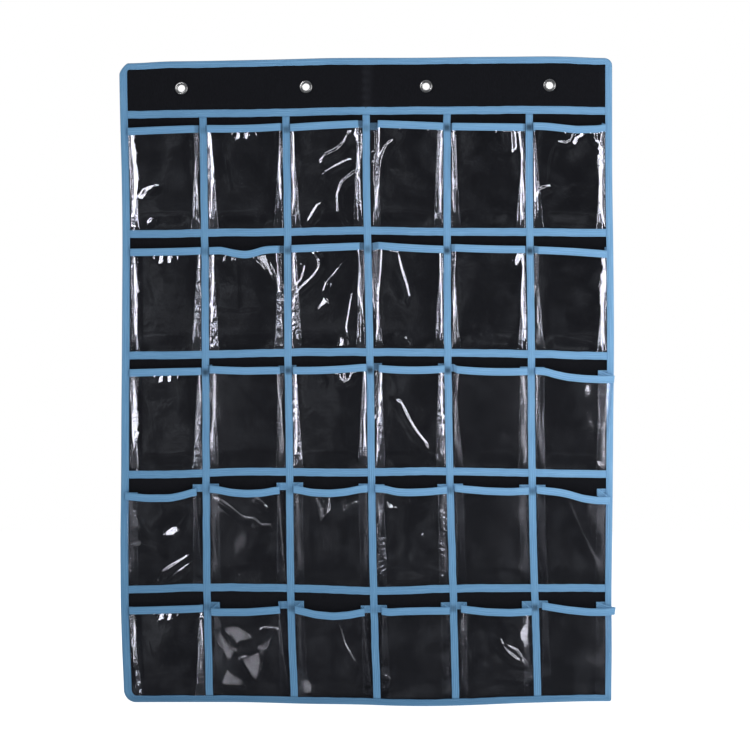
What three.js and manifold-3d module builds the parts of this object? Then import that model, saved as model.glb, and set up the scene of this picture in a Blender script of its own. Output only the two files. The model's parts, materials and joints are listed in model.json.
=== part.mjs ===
// Hanging eyewear organizer: a black fabric backing with five rows of six clear
// gusseted pockets, trimmed in folded blue binding tape and hung from four
// two-piece grommets set in a doubled header.
//
// Millimetres, +Z up, the front faces -Y, so -X is the left seen from the front.
// x = 0 is the middle divider tape, z = 0 the lower edge, y = 0 half the depth.
//
// Depths are distances in front of the backing's rear face, so the layers read
// as a stack: backing, header, tapes, edge binding, film. yAt turns one into y.
import * as THREE from "three";
import { mergeVertices } from "three/addons/utils/BufferGeometryUtils.js";
import Module from "manifold-3d";

// ---------------------------------------------------------------- dimensions
const WIDTH = 635;
const HEIGHT = 838;
const COLUMNS = 6;
const PITCH = WIDTH / COLUMNS;

const FABRIC_T = 1; // thickness of the backing and of the header
const TAPE_W = 10; // finished width of the tapes
const TAPE_T = 0.6;
const EDGE_W = 9; // how far the folded edge binding reaches over the face
const EDGE_T = 0.6;
const GAP = 0.1; // between plies, so that neighbours never share a face

const FABRIC_INSET = 0.8; // fabric edge to overall outline
const TAPE_INSET = EDGE_T + 0.4; // tape end to overall outline

// heights above the lower edge
const HEADER_TAPE_Z = 768; // centre line
const SEAM_Z = [612, 455, 300, 149.5]; // centre lines of the seam tapes under rows 1 to 4
const MOUTH_Z = [751.5, 593.5, 437.5, 283, 131.5]; // upper edges of the mouths, rows 1 to 5
const HEADER_LOW_Z = HEADER_TAPE_Z - 2; // lower edge of the header ply

// pocket front: clear film with two side pleats and a bound mouth
const FILM_T = 0.4;
const MOUTH_BAND_H = 10;
const MOUTH_T = 1.4; // film plus its binding
const STAND_OFF = 9; // depth of the front panel's mid-plane at the mouth

// grommets
const GROMMET_X = [-239, -79.5, 79.5, 239];
const GROMMET_Z = 798.5;
const FABRIC_HOLE_R = 5.6;
const ROUND_SEGMENTS = 24;
const ROLL_REAR = -1.5; // depth of the rear of the eyelets' rolled ends

// rear faces of the layers, as depths
const HEADER_REAR = FABRIC_T + GAP;
const HEADER_FRONT = HEADER_REAR + FABRIC_T;
const SEAM_REAR = FABRIC_T + GAP;
const DIVIDER_REAR = SEAM_REAR + TAPE_T + GAP;
const HEADER_TAPE_REAR = HEADER_FRONT + GAP;
const BINDING_LEG_REAR = HEADER_TAPE_REAR + TAPE_T + GAP; // front leg of the edge binding

const MID_DEPTH = (ROLL_REAR + STAND_OFF + MOUTH_T / 2) / 2;
const yAt = (depth) => MID_DEPTH - depth;

// ------------------------------------------------------------------ materials
const fabric = new THREE.MeshStandardMaterial({ color: 0x17181b, roughness: 0.92, metalness: 0 });
const tape = new THREE.MeshStandardMaterial({ color: 0x5b9bd0, roughness: 0.75, metalness: 0 });
const clearFilm = new THREE.MeshStandardMaterial({
  color: 0xdfe6ee,
  roughness: 0.08,
  metalness: 0,
  transparent: true,
  opacity: 0.3,
});
const metal = new THREE.MeshStandardMaterial({ color: 0xc9cacc, roughness: 0.2, metalness: 1 });

// ------------------------------------------------------------------- assembly
const organizer = new THREE.Group();
organizer.name = "hanging_eyewear_organizer";

function add(name, geometry, material, parent = organizer, x = 0, z = 0) {
  const mesh = new THREE.Mesh(geometry, material);
  mesh.name = name;
  mesh.position.set(x, 0, z);
  parent.add(mesh);
}

function addSection(name, z = 0) {
  const group = new THREE.Group();
  group.name = name;
  group.position.z = z;
  organizer.add(group);
  return group;
}

// ------------------------------------------------------------------- booleans
const wasm = await Module();
wasm.setup();

// Welds an extrusion by position alone, as a closed solid needs.
function toSolid(extrusion) {
  extrusion.deleteAttribute("normal");
  extrusion.deleteAttribute("uv");
  const welded = mergeVertices(extrusion, 1e-4);
  return new wasm.Manifold(
    new wasm.Mesh({
      numProp: 3,
      vertProperties: new Float32Array(welded.attributes.position.array),
      triVerts: new Uint32Array(welded.index.array),
    }),
  );
}

function toGeometry(manifold) {
  const mesh = manifold.getMesh();
  return new THREE.BufferGeometry()
    .setAttribute("position", new THREE.BufferAttribute(new Float32Array(mesh.vertProperties), 3))
    .setIndex(new THREE.BufferAttribute(new Uint32Array(mesh.triVerts), 1));
}

// --------------------------------------------------------------------- shapes
const CORNER_SEGMENTS = 6;
const BINDING_INNER_R = 0.8; // the binding's inner corners are all but square

// x side, z side and outer radius, anticlockwise in x-z from the upper right
const CORNERS = [
  [1, 1, 10],
  [-1, 1, 10],
  [-1, -1, 15],
  [1, -1, 3],
];

// The overall outline in x-z, brought in by an inset.
function outline(inset) {
  return CORNERS.flatMap(([sideX, sideZ, outerR], quarter) => {
    const radius = inset >= EDGE_W ? BINDING_INNER_R : outerR - inset;
    const centreX = sideX * (WIDTH / 2 - inset - radius);
    const centreZ = HEIGHT / 2 + sideZ * (HEIGHT / 2 - inset - radius);
    return Array.from({ length: CORNER_SEGMENTS + 1 }, (_, i) => {
      const angle = (quarter + i / CORNER_SEGMENTS) * (Math.PI / 2);
      return new THREE.Vector2(
        centreX + radius * Math.cos(angle),
        centreZ + radius * Math.sin(angle),
      );
    });
  });
}

// Extrudes points drawn in x-z between two depths. ExtrudeGeometry builds along
// its own +Z, which is turned to -Y, so a growing depth comes towards the front.
function sheet(points, rear, front, holes = []) {
  const shape = new THREE.Shape(points);
  shape.holes.push(...holes);
  return new THREE.ExtrudeGeometry(shape, { depth: front - rear, bevelEnabled: false })
    .rotateX(Math.PI / 2)
    .translate(0, yAt(rear), 0);
}

// A straight strip of tape, centred on the origin in x and z.
function strip(width, height, rear) {
  return new THREE.BoxGeometry(width, TAPE_T, height).translate(0, yAt(rear + TAPE_T / 2), 0);
}

function fabricHole(x) {
  const points = Array.from({ length: ROUND_SEGMENTS }, (_, i) => {
    const angle = -(i / ROUND_SEGMENTS) * 2 * Math.PI;
    return new THREE.Vector2(
      x + FABRIC_HOLE_R * Math.cos(angle),
      GROMMET_Z + FABRIC_HOLE_R * Math.sin(angle),
    );
  });
  const path = new THREE.Path(points);
  path.closePath();
  return path;
}

// --------------------------------------------------------- backing and header
function addFabric() {
  const holes = GROMMET_X.map(fabricHole);
  const backing = outline(FABRIC_INSET);
  add("back_panel", sheet(backing, 0, FABRIC_T, holes), fabric);

  // the header ply is the backing's outline cut off behind the header tape
  const side = WIDTH / 2 - FABRIC_INSET;
  const header = [
    ...backing.filter((point) => point.y > HEADER_LOW_Z),
    new THREE.Vector2(-side, HEADER_LOW_Z),
    new THREE.Vector2(side, HEADER_LOW_Z),
  ];
  add("header_panel", sheet(header, HEADER_REAR, HEADER_FRONT, holes), fabric);
}

// --------------------------------------------------------------- edge binding
// One tape folded round the whole edge: a channel that opens inwards.
function addEdgeBinding() {
  const overrun = 5; // the window's cutter runs past both legs
  const outer = toSolid(sheet(outline(0), -GAP - EDGE_T, BINDING_LEG_REAR + EDGE_T));
  const slot = toSolid(sheet(outline(EDGE_T), -GAP, BINDING_LEG_REAR));
  const window = toSolid(sheet(outline(EDGE_W), -overrun, BINDING_LEG_REAR + overrun));
  add("edge_binding", toGeometry(outer.subtract(slot).subtract(window)), tape);
}

// ---------------------------------------------------------------------- tapes
// Tapes end under the edge binding, but the dividers stop just below the header tape.
function addTapes() {
  const tapes = addSection("tapes");
  const across = WIDTH - 2 * TAPE_INSET;
  const headerTape = strip(across, TAPE_W, HEADER_TAPE_REAR);
  add("header_tape", headerTape, tape, tapes, 0, HEADER_TAPE_Z);

  SEAM_Z.forEach((z, i) => {
    add(`seam_tape_${i + 1}`, strip(across, TAPE_W, SEAM_REAR), tape, tapes, 0, z);
  });

  const clearance = 0.3; // divider to header tape
  const low = TAPE_INSET;
  const high = HEADER_TAPE_Z - TAPE_W / 2 - clearance;
  for (let i = 1; i < COLUMNS; i++) {
    const divider = strip(TAPE_W, high - low, DIVIDER_REAR);
    add(`divider_tape_${i}`, divider, tape, tapes, -WIDTH / 2 + i * PITCH, (low + high) / 2);
  }
}

// -------------------------------------------------------------------- pockets
// A pocket front is a ribbon seen from above: a front panel whose two sides fold
// back behind it as pleats. It is drawn with the pleats at v = 0 and the front
// panel at v = PANEL_V, then each height moves the two to their own depths.
const PANEL_V = 20;
const PLEAT_W = 13;
const SIDE_CLEAR = 0.4; // film to divider tape or edge binding
const FILM_LIFT = 0.4; // film's lower edge above the tape or binding under it
const BEND_H = 22; // height of the bend between steep foot and upper slope

// depths of the front panel, and how far the pleats lie behind it
const FOOT_DEPTH = 2.5;
const BEND_DEPTH = 6.6;
const PLEAT_LAG_FOOT = 0.95;
const PLEAT_LAG = 2.1; // from the bend up

function ribbon(width, thickness) {
  const half = thickness / 2;
  const foldX = width / 2 - MOUTH_T / 2; // centre line of the side fold
  const outerX = foldX + half;
  const innerX = foldX - half;
  const pleatX = width / 2 - PLEAT_W; // free edge of the pleat
  // x, v
  const points = [
    [-pleatX, -half], [-pleatX, half],
    [-innerX, half], [-innerX, PANEL_V - half],
    [innerX, PANEL_V - half], [innerX, half],
    [pleatX, half], [pleatX, -half],
    [outerX, -half], [outerX, PANEL_V + half],
    [-outerX, PANEL_V + half], [-outerX, -half],
  ];
  return new THREE.Shape(points.map(([x, v]) => new THREE.Vector2(x, v)));
}

// Mid-plane depths of the front panel and the pleats at height z in a pocket.
function panelDepths(z, height) {
  const { lerp } = THREE.MathUtils;
  const front =
    z < BEND_H
      ? lerp(FOOT_DEPTH, BEND_DEPTH, z / BEND_H)
      : lerp(BEND_DEPTH, STAND_OFF, (z - BEND_H) / (height - BEND_H));
  const pleat = front - lerp(PLEAT_LAG_FOOT, PLEAT_LAG, Math.min(1, z / BEND_H));
  return { front, pleat };
}

// The ribbon carried up through a list of levels, as a solid.
function pocketBand(width, height, thickness, levels) {
  const steps = levels.length - 1;
  const shape = ribbon(width, thickness);
  const geometry = new THREE.ExtrudeGeometry(shape, { depth: 1, steps, bevelEnabled: false });
  const { position } = geometry.attributes;
  for (let i = 0; i < position.count; i++) {
    const z = levels[Math.round(position.getZ(i) * steps)];
    const { front, pleat } = panelDepths(z, height);
    const v = position.getY(i);
    const depth = v > PANEL_V / 2 ? front + (v - PANEL_V) : pleat + v;
    position.setXYZ(i, position.getX(i), yAt(depth), z);
  }
  // the move mirrors the section, so each triangle is turned round
  const first = new THREE.Vector3();
  const second = new THREE.Vector3();
  for (let i = 0; i < position.count; i += 3) {
    first.fromBufferAttribute(position, i);
    second.fromBufferAttribute(position, i + 1);
    position.setXYZ(i, ...second);
    position.setXYZ(i + 1, ...first);
  }
  return toSolid(geometry);
}

function pocket(width, height) {
  const filmLevels = [FILM_LIFT, BEND_H, height - MOUTH_BAND_H / 2];
  const film = pocketBand(width, height, FILM_T, filmLevels);
  const mouth = pocketBand(width, height, MOUTH_T, [height - MOUTH_BAND_H, height]);
  return toGeometry(film.add(mouth));
}

function addPockets() {
  MOUTH_Z.forEach((mouthZ, row) => {
    const lowZ = row < SEAM_Z.length ? SEAM_Z[row] + TAPE_W / 2 : EDGE_W;
    const group = addSection(`row_${row + 1}`, lowZ);
    for (let column = 0; column < COLUMNS; column++) {
      const leftTrim = column === 0 ? EDGE_W : TAPE_W / 2;
      const rightTrim = column === COLUMNS - 1 ? EDGE_W : TAPE_W / 2;
      const left = -WIDTH / 2 + column * PITCH + leftTrim + SIDE_CLEAR;
      const right = -WIDTH / 2 + (column + 1) * PITCH - rightTrim - SIDE_CLEAR;
      const geometry = pocket(right - left, mouthZ - lowZ);
      const name = `pocket_r${row + 1}_c${column + 1}`;
      add(name, geometry, clearFilm, group, (left + right) / 2);
    }
  });
}

// ------------------------------------------------------------------- grommets
const BORE_R = 4.75;
const BARREL_R = 5.25; // outside of the barrel
const ROLL_R = BARREL_R + 1.5;
const ROLL_FRONT = -0.85;
const FLANGE_R = 9;
const WASHER_R = 8.3;
const WASHER_BORE_R = BARREL_R + 0.3;
const WASHER_FRONT = -0.15;
const WASHER_REAR = -0.72;

// Domed flange in front, barrel through both plies, end rolled out behind the
// washer. Columns: radius, depth.
const EYELET_PROFILE = [
  [BORE_R, -1.2],
  [BORE_R, HEADER_FRONT + 1.1],
  [BORE_R + 1.1, HEADER_FRONT + 1.7],
  [FLANGE_R - 1.3, HEADER_FRONT + 1.3],
  [FLANGE_R, HEADER_FRONT + 0.15],
  [FLANGE_R - 0.7, HEADER_FRONT + 0.15],
  [FLANGE_R - 1.7, HEADER_FRONT + 0.75],
  [BARREL_R, HEADER_FRONT + 0.75],
  [BARREL_R, ROLL_FRONT],
  [ROLL_R, ROLL_FRONT],
  [ROLL_R, ROLL_REAR + 0.25],
  [BARREL_R + 0.6, ROLL_REAR],
];

// Flat ring, chamfered at its outer rear edge. Columns: radius, depth.
const WASHER_PROFILE = [
  [WASHER_BORE_R, WASHER_REAR],
  [WASHER_BORE_R, WASHER_FRONT],
  [WASHER_R, WASHER_FRONT],
  [WASHER_R, -0.5],
  [WASHER_R - 0.4, WASHER_REAR],
];

// Turns a profile about the hole's axis, parallel to Y, and closes it.
function turned(profile) {
  const points = profile.map(([radius, depth]) => new THREE.Vector2(radius, yAt(depth)));
  points.push(points[0].clone());
  return new THREE.LatheGeometry(points, ROUND_SEGMENTS);
}

function addGrommets() {
  const grommets = addSection("grommets", GROMMET_Z);
  const eyelet = turned(EYELET_PROFILE);
  const washer = turned(WASHER_PROFILE);
  GROMMET_X.forEach((x, i) => {
    add(`grommet_${i + 1}`, eyelet, metal, grommets, x);
    add(`grommet_washer_${i + 1}`, washer, metal, grommets, x);
  });
}

addFabric();
addEdgeBinding();
addTapes();
addPockets();
addGrommets();

export default organizer;
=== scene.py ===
import json
import math

import bpy
import numpy as np
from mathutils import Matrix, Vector
from mathutils.geometry import delaunay_2d_cdt

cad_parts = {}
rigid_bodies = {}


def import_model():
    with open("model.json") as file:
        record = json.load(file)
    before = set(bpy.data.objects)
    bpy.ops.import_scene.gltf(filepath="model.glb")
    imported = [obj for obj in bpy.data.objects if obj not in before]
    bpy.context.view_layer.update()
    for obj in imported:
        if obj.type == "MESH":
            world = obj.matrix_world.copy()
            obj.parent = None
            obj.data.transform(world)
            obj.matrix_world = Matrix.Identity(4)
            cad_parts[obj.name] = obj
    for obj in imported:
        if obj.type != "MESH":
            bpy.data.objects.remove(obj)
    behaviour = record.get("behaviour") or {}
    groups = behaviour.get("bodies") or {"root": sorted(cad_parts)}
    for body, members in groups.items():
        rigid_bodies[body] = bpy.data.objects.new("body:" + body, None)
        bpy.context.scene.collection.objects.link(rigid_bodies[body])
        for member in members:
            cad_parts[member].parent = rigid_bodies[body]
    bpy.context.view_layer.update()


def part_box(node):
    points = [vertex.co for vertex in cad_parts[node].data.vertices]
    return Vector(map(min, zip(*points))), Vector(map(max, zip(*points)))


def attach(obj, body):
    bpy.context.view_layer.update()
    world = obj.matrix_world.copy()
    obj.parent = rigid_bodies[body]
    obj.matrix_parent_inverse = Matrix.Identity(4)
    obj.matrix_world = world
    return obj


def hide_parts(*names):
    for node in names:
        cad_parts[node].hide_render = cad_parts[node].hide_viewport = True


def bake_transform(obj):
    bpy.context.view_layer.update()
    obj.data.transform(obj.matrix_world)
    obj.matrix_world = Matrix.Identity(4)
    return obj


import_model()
MM = 1000.0


def box_mm(node):
    lo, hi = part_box(node)
    return np.array(lo) * MM, np.array(hi) * MM


# ------------------------------------------------------------- layout, from the frame
# x and z in mm as the row frame has them; d is the distance in front of the
# backing's rear face, so y = Y0 - d.
Y0 = box_mm("back_panel")[1][1]
BIND_LO, BIND_HI = box_mm("edge_binding")
X_LEFT, X_RIGHT = BIND_LO[0], BIND_HI[0]
Z_BOTTOM, Z_TOP = BIND_LO[2], BIND_HI[2]
DIV_X = [float((box_mm(f"divider_tape_{i}")[0][0] + box_mm(f"divider_tape_{i}")[1][0]) / 2) for i in range(1, 6)]
TAPE_W = float(box_mm("divider_tape_1")[1][0] - box_mm("divider_tape_1")[0][0])
SEAM_Z = [float((box_mm(f"seam_tape_{i}")[0][2] + box_mm(f"seam_tape_{i}")[1][2]) / 2) for i in range(1, 5)]
HEAD_Z = float((box_mm("header_tape")[0][2] + box_mm("header_tape")[1][2]) / 2)
GROM_X = [float((box_mm(f"grommet_{i}")[0][0] + box_mm(f"grommet_{i}")[1][0]) / 2) for i in range(1, 5)]
GROM_Z = float((box_mm("grommet_1")[0][2] + box_mm("grommet_1")[1][2]) / 2)
# where the grommets hang: a little off their ruled places, as they were punched by eye
GROM_AT = [(-2.5, -1.2), (-0.4, 0.7), (-3.5, 1.4), (-2.7, 2.7)]
ROW_LOW = [z + TAPE_W / 2 for z in SEAM_Z] + [float(box_mm("pocket_r5_c1")[0][2]) - 0.4]
EDGE_W = ROW_LOW[4]  # the binding reaches as far over the face as the lowest film starts
ROW_TOP = [float(box_mm(f"pocket_r{r}_c1")[1][2]) for r in range(1, 6)]
COL_EDGES = [X_LEFT] + DIV_X + [X_RIGHT]


# ------------------------------------------------------------------ how the cloth hangs
# Offsets in mm of the sewn lines from their ruled places: the cloth hangs a little
# skewed, its lower middle swings to the right and its upper left corner droops.
LEVELS = [15.6, 67.5, 132.4, 210.4, 288.3, 379.2, 441.5, 509.0, 602.5, 677.8, 758.3, 815.0]
SWAY = [
    [2.6, 0.0, -2.0, -2.4, -1.3, -1.0, -0.3, 0.0, 0.6, -0.2, -2.4, -3.6],
    [6.5, 4.8, 3.5, 2.6, 2.1, 2.0, 1.5, 1.0, 0.6, -0.6, -1.9, -2.4],
    [11.0, 8.2, 6.2, 5.2, 4.9, 3.7, 2.7, 2.2, 2.2, 1.3, 0.0, -0.4],
    [12.6, 10.0, 8.3, 6.5, 5.1, 4.3, 3.2, 1.9, 0.0, -1.6, -1.9, -1.9],
    [8.6, 7.2, 5.6, 3.2, 1.2, -0.8, -1.6, -2.4, -2.6, -2.6, -2.6, -2.6],
    [9.2, 7.7, 5.7, 3.3, 1.9, 1.1, 1.0, 0.4, -1.2, -1.9, -2.0, -2.0],
    [-1.2, -0.3, -0.9, 0.0, 1.0, 1.6, 2.4, 2.4, 1.4, 0.1, 0.0, 0.0],
]
LINE_X = [-294.8, -262.3, -229.8, -190.9, -158.4, -126.0, -84.4, -50.6, -19.5, 22.1, 55.8, 89.6, 128.6, 159.7, 188.3, 235.0, 270.1, 300.0]
SAG = [
    [0.6, 0.6, 0.6, 0.6, 0.4, -0.6, -1.7, -1.9, -2.4, -4.0, -4.5, -4.4, -3.2, -1.9, -0.6, 0.6, 1.6, 1.9],
    [-2.8, -1.5, -0.2, 0.2, -0.1, -0.4, -1.5, -2.8, -4.1, -4.3, -2.9, -1.6, -0.9, -0.8, -0.8, -0.7, -0.4, -0.8],
    [-3.9, -3.8, -2.9, -0.9, -0.1, -0.2, -0.7, -1.3, -1.3, -0.6, 0.4, 0.6, -0.0, -0.7, -1.3, -2.0, -3.1, -3.3],
    [-4.4, -4.4, -3.8, -2.6, -1.8, -1.1, -0.1, 0.1, 0.1, 0.0, -0.4, -0.6, -1.1, -1.4, -2.2, -2.9, -4.2, -5.1],
    [-3.7, -3.6, -2.9, -1.9, -1.7, -1.4, -0.4, 0.2, 0.9, 0.7, -0.3, -1.0, -1.1, -1.1, -1.1, -1.3, -2.2, -2.4],
    [-5.1, -4.4, -3.5, -3.2, -3.1, -2.5, -1.7, -0.6, 0.3, 0.0, 0.5, 0.7, 0.7, 0.8, 1.2, 1.3, 0.8, 0.1],
    [-8.2, -5.6, -5.4, -4.8, -4.0, -3.4, -2.3, -1.3, -1.1, -1.1, -1.0, -0.8, 0.0, 0.2, 0.4, 1.0, 0.3, -1.4],
]
SAG_Z = [Z_BOTTOM] + SEAM_Z[::-1] + [HEAD_Z, Z_TOP]

_GX = np.arange(-330.0, 331.0, 2.0)
_GZ = np.arange(-12.0, 853.0, 2.0)


def _soft(table, sigma):
    """Smooths the last axis with a Gaussian of sigma samples."""
    k = np.arange(-int(3 * sigma), int(3 * sigma) + 1)
    g = np.exp(-0.5 * (k / sigma) ** 2)
    g /= g.sum()
    pad = len(k) // 2
    wide = np.pad(table, [(0, 0)] * (table.ndim - 1) + [(pad, pad)], mode="edge")
    return np.apply_along_axis(lambda v: np.convolve(v, g, mode="valid"), -1, wide)


_sway = _soft(np.array([np.interp(_GZ, LEVELS, s) for s in SWAY]), 9)
_DX = np.array([np.interp(_GX, COL_EDGES, _sway[:, i]) for i in range(len(_GZ))])
_sag = _soft(np.array([np.interp(_GX, LINE_X, s) for s in SAG]), 6)
_DZ = np.array([np.interp(_GZ, SAG_Z, _sag[:, i]) for i in range(len(_GX))]).T


def _sample(table, x, z):
    fx = np.clip((np.asarray(x, float) - _GX[0]) / 2.0, 0, len(_GX) - 1.001)
    fz = np.clip((np.asarray(z, float) - _GZ[0]) / 2.0, 0, len(_GZ) - 1.001)
    ix, iz = fx.astype(int), fz.astype(int)
    ax, az = fx - ix, fz - iz
    return (
        table[iz, ix] * (1 - ax) * (1 - az)
        + table[iz, ix + 1] * ax * (1 - az)
        + table[iz + 1, ix] * (1 - ax) * az
        + table[iz + 1, ix + 1] * ax * az
    )


def hang_x(x, z):
    return np.asarray(x, float) + _sample(_DX, x, z)


def hang_z(x, z):
    return np.asarray(z, float) + _sample(_DZ, x, z)


def ruled_of(x, z):
    """The ruled place that hangs at x, z."""
    rx, rz = float(x), float(z)
    for _ in range(4):
        rx, rz = rx + float(x - hang_x(rx, rz)), rz + float(z - hang_z(rx, rz))
    return rx, rz


def wave(x, z):
    """How far the whole cloth stands forward of flat, in mm: long soft waves."""
    x, z = np.asarray(x, float), np.asarray(z, float)
    w = 0.9 * np.sin(x / 96.0 + 0.6 + z / 410.0) * np.sin(z / 150.0 + 0.4)
    w = w + 0.6 * np.sin(x / 61.0 - z / 230.0 + 2.0)
    return w * np.clip((Z_TOP - z) / 160.0, 0.15, 1)


def world(x, d, z, wx=None, wz=None):
    """(x, d, z) in mm to the row frame in mm, with the cloth's waves. wx, wz are the
    ruled coordinates the waves are read at, when they differ from x and z."""
    w = wave(x if wx is None else wx, z if wz is None else wz)
    return np.stack(np.broadcast_arrays(x, Y0 - (d + w), z), axis=-1)


def noise_maker(seed, n, kmin, kmax, stretch=1.0):
    """A smooth random function of (a, b) from n waves of random heading, about -1 to 1."""
    rng = np.random.default_rng(seed)
    k = rng.uniform(kmin, kmax, n)
    t = rng.uniform(0, 2 * np.pi, n)
    p = rng.uniform(0, 2 * np.pi, n)
    ka, kb = k * np.cos(t), k * np.sin(t) * stretch

    def f(a, b):
        a, b = np.broadcast_arrays(np.asarray(a, float), np.asarray(b, float))
        out = np.zeros(a.shape)
        for i in range(n):
            out += np.sin(ka[i] * a + kb[i] * b + p[i])
        return out / math.sqrt(n / 2.0) * 0.6

    return f


def smooth(t):
    t = np.clip(t, 0, 1)
    return t * t * (3 - 2 * t)


# ------------------------------------------------------------------------- mesh tools
class Build:
    """Collects closed shells for one piece: vertices in row-frame mm, faces, UVs in mm,
    a material index per face and named values per vertex."""

    def __init__(self):
        self.v, self.f, self.uv, self.m = [], [], [], []
        self.val = {}
        self.n = 0

    def add(self, v, quads, uv=None, mat=0, **values):
        v = np.asarray(v, float).reshape(-1, 3)
        self.v.append(v)
        self.f += [tuple(int(i) + self.n for i in q) for q in quads]
        self.m += [mat] * len(quads)
        self.uv.append(np.zeros((len(v), 2)) if uv is None else np.asarray(uv, float).reshape(-1, 2))
        for k in set(self.val) | set(values):
            a = np.asarray(values.get(k, 0.0), float)
            a = np.full(len(v), float(a)) if a.ndim == 0 else a.reshape(-1)
            self.val.setdefault(k, [np.zeros(self.n)] if self.n else []).append(a)
        self.n += len(v)

    def object(self, name, materials, flat=False):
        mesh = bpy.data.meshes.new(name)
        v = np.concatenate(self.v) / MM
        mesh.from_pydata(v.tolist(), [], self.f)
        uv = np.concatenate(self.uv) / 100.0
        layer = mesh.uv_layers.new(name="UVMap")
        idx = np.zeros(len(mesh.loops), np.int32)
        mesh.loops.foreach_get("vertex_index", idx)
        layer.data.foreach_set("uv", uv[idx].astype(np.float32).ravel())
        for m in materials:
            mesh.materials.append(m)
        mesh.polygons.foreach_set("material_index", np.array(self.m, np.int32))
        if not flat:
            mesh.polygons.foreach_set("use_smooth", np.ones(len(mesh.polygons), bool))
        for k, parts in self.val.items():
            a = np.concatenate(parts)
            if k == "w":
                continue
            at = mesh.attributes.new(k, "FLOAT", "POINT")
            at.data.foreach_set("value", a.astype(np.float32))
        mesh.update()
        mesh.validate()
        o = bpy.data.objects.new(name, mesh)
        bpy.context.scene.collection.objects.link(o)
        return o


def normals_of(P, close=False):
    """Unit normals of a grid of points (nu, nv, 3)."""
    if close:
        du = np.roll(P, -1, 0) - np.roll(P, 1, 0)
    else:
        du = np.gradient(P, axis=0)
    dv = np.gradient(P, axis=1)
    n = np.cross(du, dv)
    return n / np.maximum(np.linalg.norm(n, axis=-1, keepdims=True), 1e-9)


def grid_shell(P, T, uv=None, close=False, normals=None):
    """A closed sheet round the grid P (nu, nv, 3) of mid-surface points, T mm thick.
    Returns vertices, quads, UVs. With close, u wraps round."""
    nu, nv = P.shape[:2]
    n = normals_of(P, close) if normals is None else normals
    T = np.broadcast_to(np.asarray(T, float), (nu, nv))[..., None]
    A, B = P + n * T / 2, P - n * T / 2
    v = np.concatenate([A.reshape(-1, 3), B.reshape(-1, 3)])
    off = nu * nv
    q = []
    ui = np.arange(nu if close else nu - 1)
    for i in ui:
        k = (i + 1) % nu
        a = i * nv + np.arange(nv - 1)
        b = k * nv + np.arange(nv - 1)
        q.append(np.stack([a, b, b + 1, a + 1], 1))
        q.append(np.stack([a + off, a + 1 + off, b + 1 + off, b + off], 1))
    for i in ui:
        k = (i + 1) % nu
        q.append(np.array([[i * nv, i * nv + off, k * nv + off, k * nv]]))
        e = nv - 1
        q.append(np.array([[i * nv + e, k * nv + e, k * nv + e + off, i * nv + e + off]]))
    if not close:
        j = np.arange(nv - 1)
        q.append(np.stack([j, j + 1, j + 1 + off, j + off], 1))
        last = (nu - 1) * nv
        q.append(np.stack([last + j, last + j + off, last + j + 1 + off, last + j + 1], 1))
    uv = np.zeros((nu, nv, 2)) if uv is None else uv
    return v, np.concatenate(q), np.concatenate([uv.reshape(-1, 2)] * 2)


def stitches(path, normal, spacing=3.1, length=2.3, radius=0.2, lift=0.08, start=1.2, end=1.2, seed=1):
    """Thread along a line of points, one small closed stitch after another.
    Returns vertices, faces and the index on the path of each vertex."""
    seg = np.linalg.norm(np.diff(path, axis=0), axis=1)
    s = np.concatenate([[0], np.cumsum(seg)])
    count = int((s[-1] - start - end) / spacing)
    if count < 1:
        return None
    rng = np.random.default_rng(seed)
    c = start + (np.arange(count) + 0.5) * spacing + rng.uniform(-0.12, 0.12, count)
    at = lambda arr, q: np.stack([np.interp(q, s, arr[:, k]) for k in range(3)], -1)
    ring_t = np.array([-0.5, -0.32, 0.0, 0.32, 0.5])
    ring_r = np.array([0.35, 0.9, 1.0, 0.9, 0.35])
    ring_h = np.array([-1.15, -0.15, 0.35, -0.15, -1.15])
    sides = 5
    ang = np.arange(sides) / sides * 2 * np.pi
    nn = at(normal, c)
    nn /= np.linalg.norm(nn, axis=1, keepdims=True)
    tt = at(path, c + 0.5) - at(path, c - 0.5)
    tt /= np.maximum(np.linalg.norm(tt, axis=1, keepdims=True), 1e-9)
    bb = np.cross(nn, tt)
    skew = rng.uniform(-0.07, 0.07, count)
    verts = []
    for t, r, h in zip(ring_t, ring_r, ring_h):
        p = at(path, c + t * length) + bb * (skew * t * length)[:, None] + nn * (lift + radius * h)
        for a in ang:
            verts.append(p + (bb * math.cos(a) + nn * math.sin(a)) * radius * r)
    V = np.stack(verts, 1)  # count, rings * sides, 3
    faces = []
    R = len(ring_t)
    for i in range(R - 1):
        for j in range(sides):
            k = (j + 1) % sides
            faces.append((i * sides + j, i * sides + k, (i + 1) * sides + k, (i + 1) * sides + j))
    caps = [tuple(range(sides))[::-1], tuple((R - 1) * sides + j for j in range(sides))]
    per = R * sides
    out = []
    for n in range(count):
        out += [tuple(i + n * per for i in f) for f in faces] + [tuple(i + n * per for i in f) for f in caps]
    index = np.repeat(np.interp(c, s, np.arange(len(s))), per)
    return V.reshape(-1, 3), out, index


# -------------------------------------------------------------------------- materials
def material(name, rough=0.5, metal=0.0):
    m = bpy.data.materials.new(name)
    m.use_nodes = True
    nt = m.node_tree
    nt.nodes.clear()
    out = nt.nodes.new("ShaderNodeOutputMaterial")
    bsdf = nt.nodes.new("ShaderNodeBsdfPrincipled")
    bsdf.inputs["Roughness"].default_value = rough
    bsdf.inputs["Metallic"].default_value = metal
    nt.links.new(bsdf.outputs[0], out.inputs["Surface"])
    return m, nt, bsdf, out


def node(nt, kind, **values):
    n = nt.nodes.new(kind)
    for k, v in values.items():
        if k in n.inputs:
            n.inputs[k].default_value = v
        else:
            setattr(n, k, v)
    return n


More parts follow.
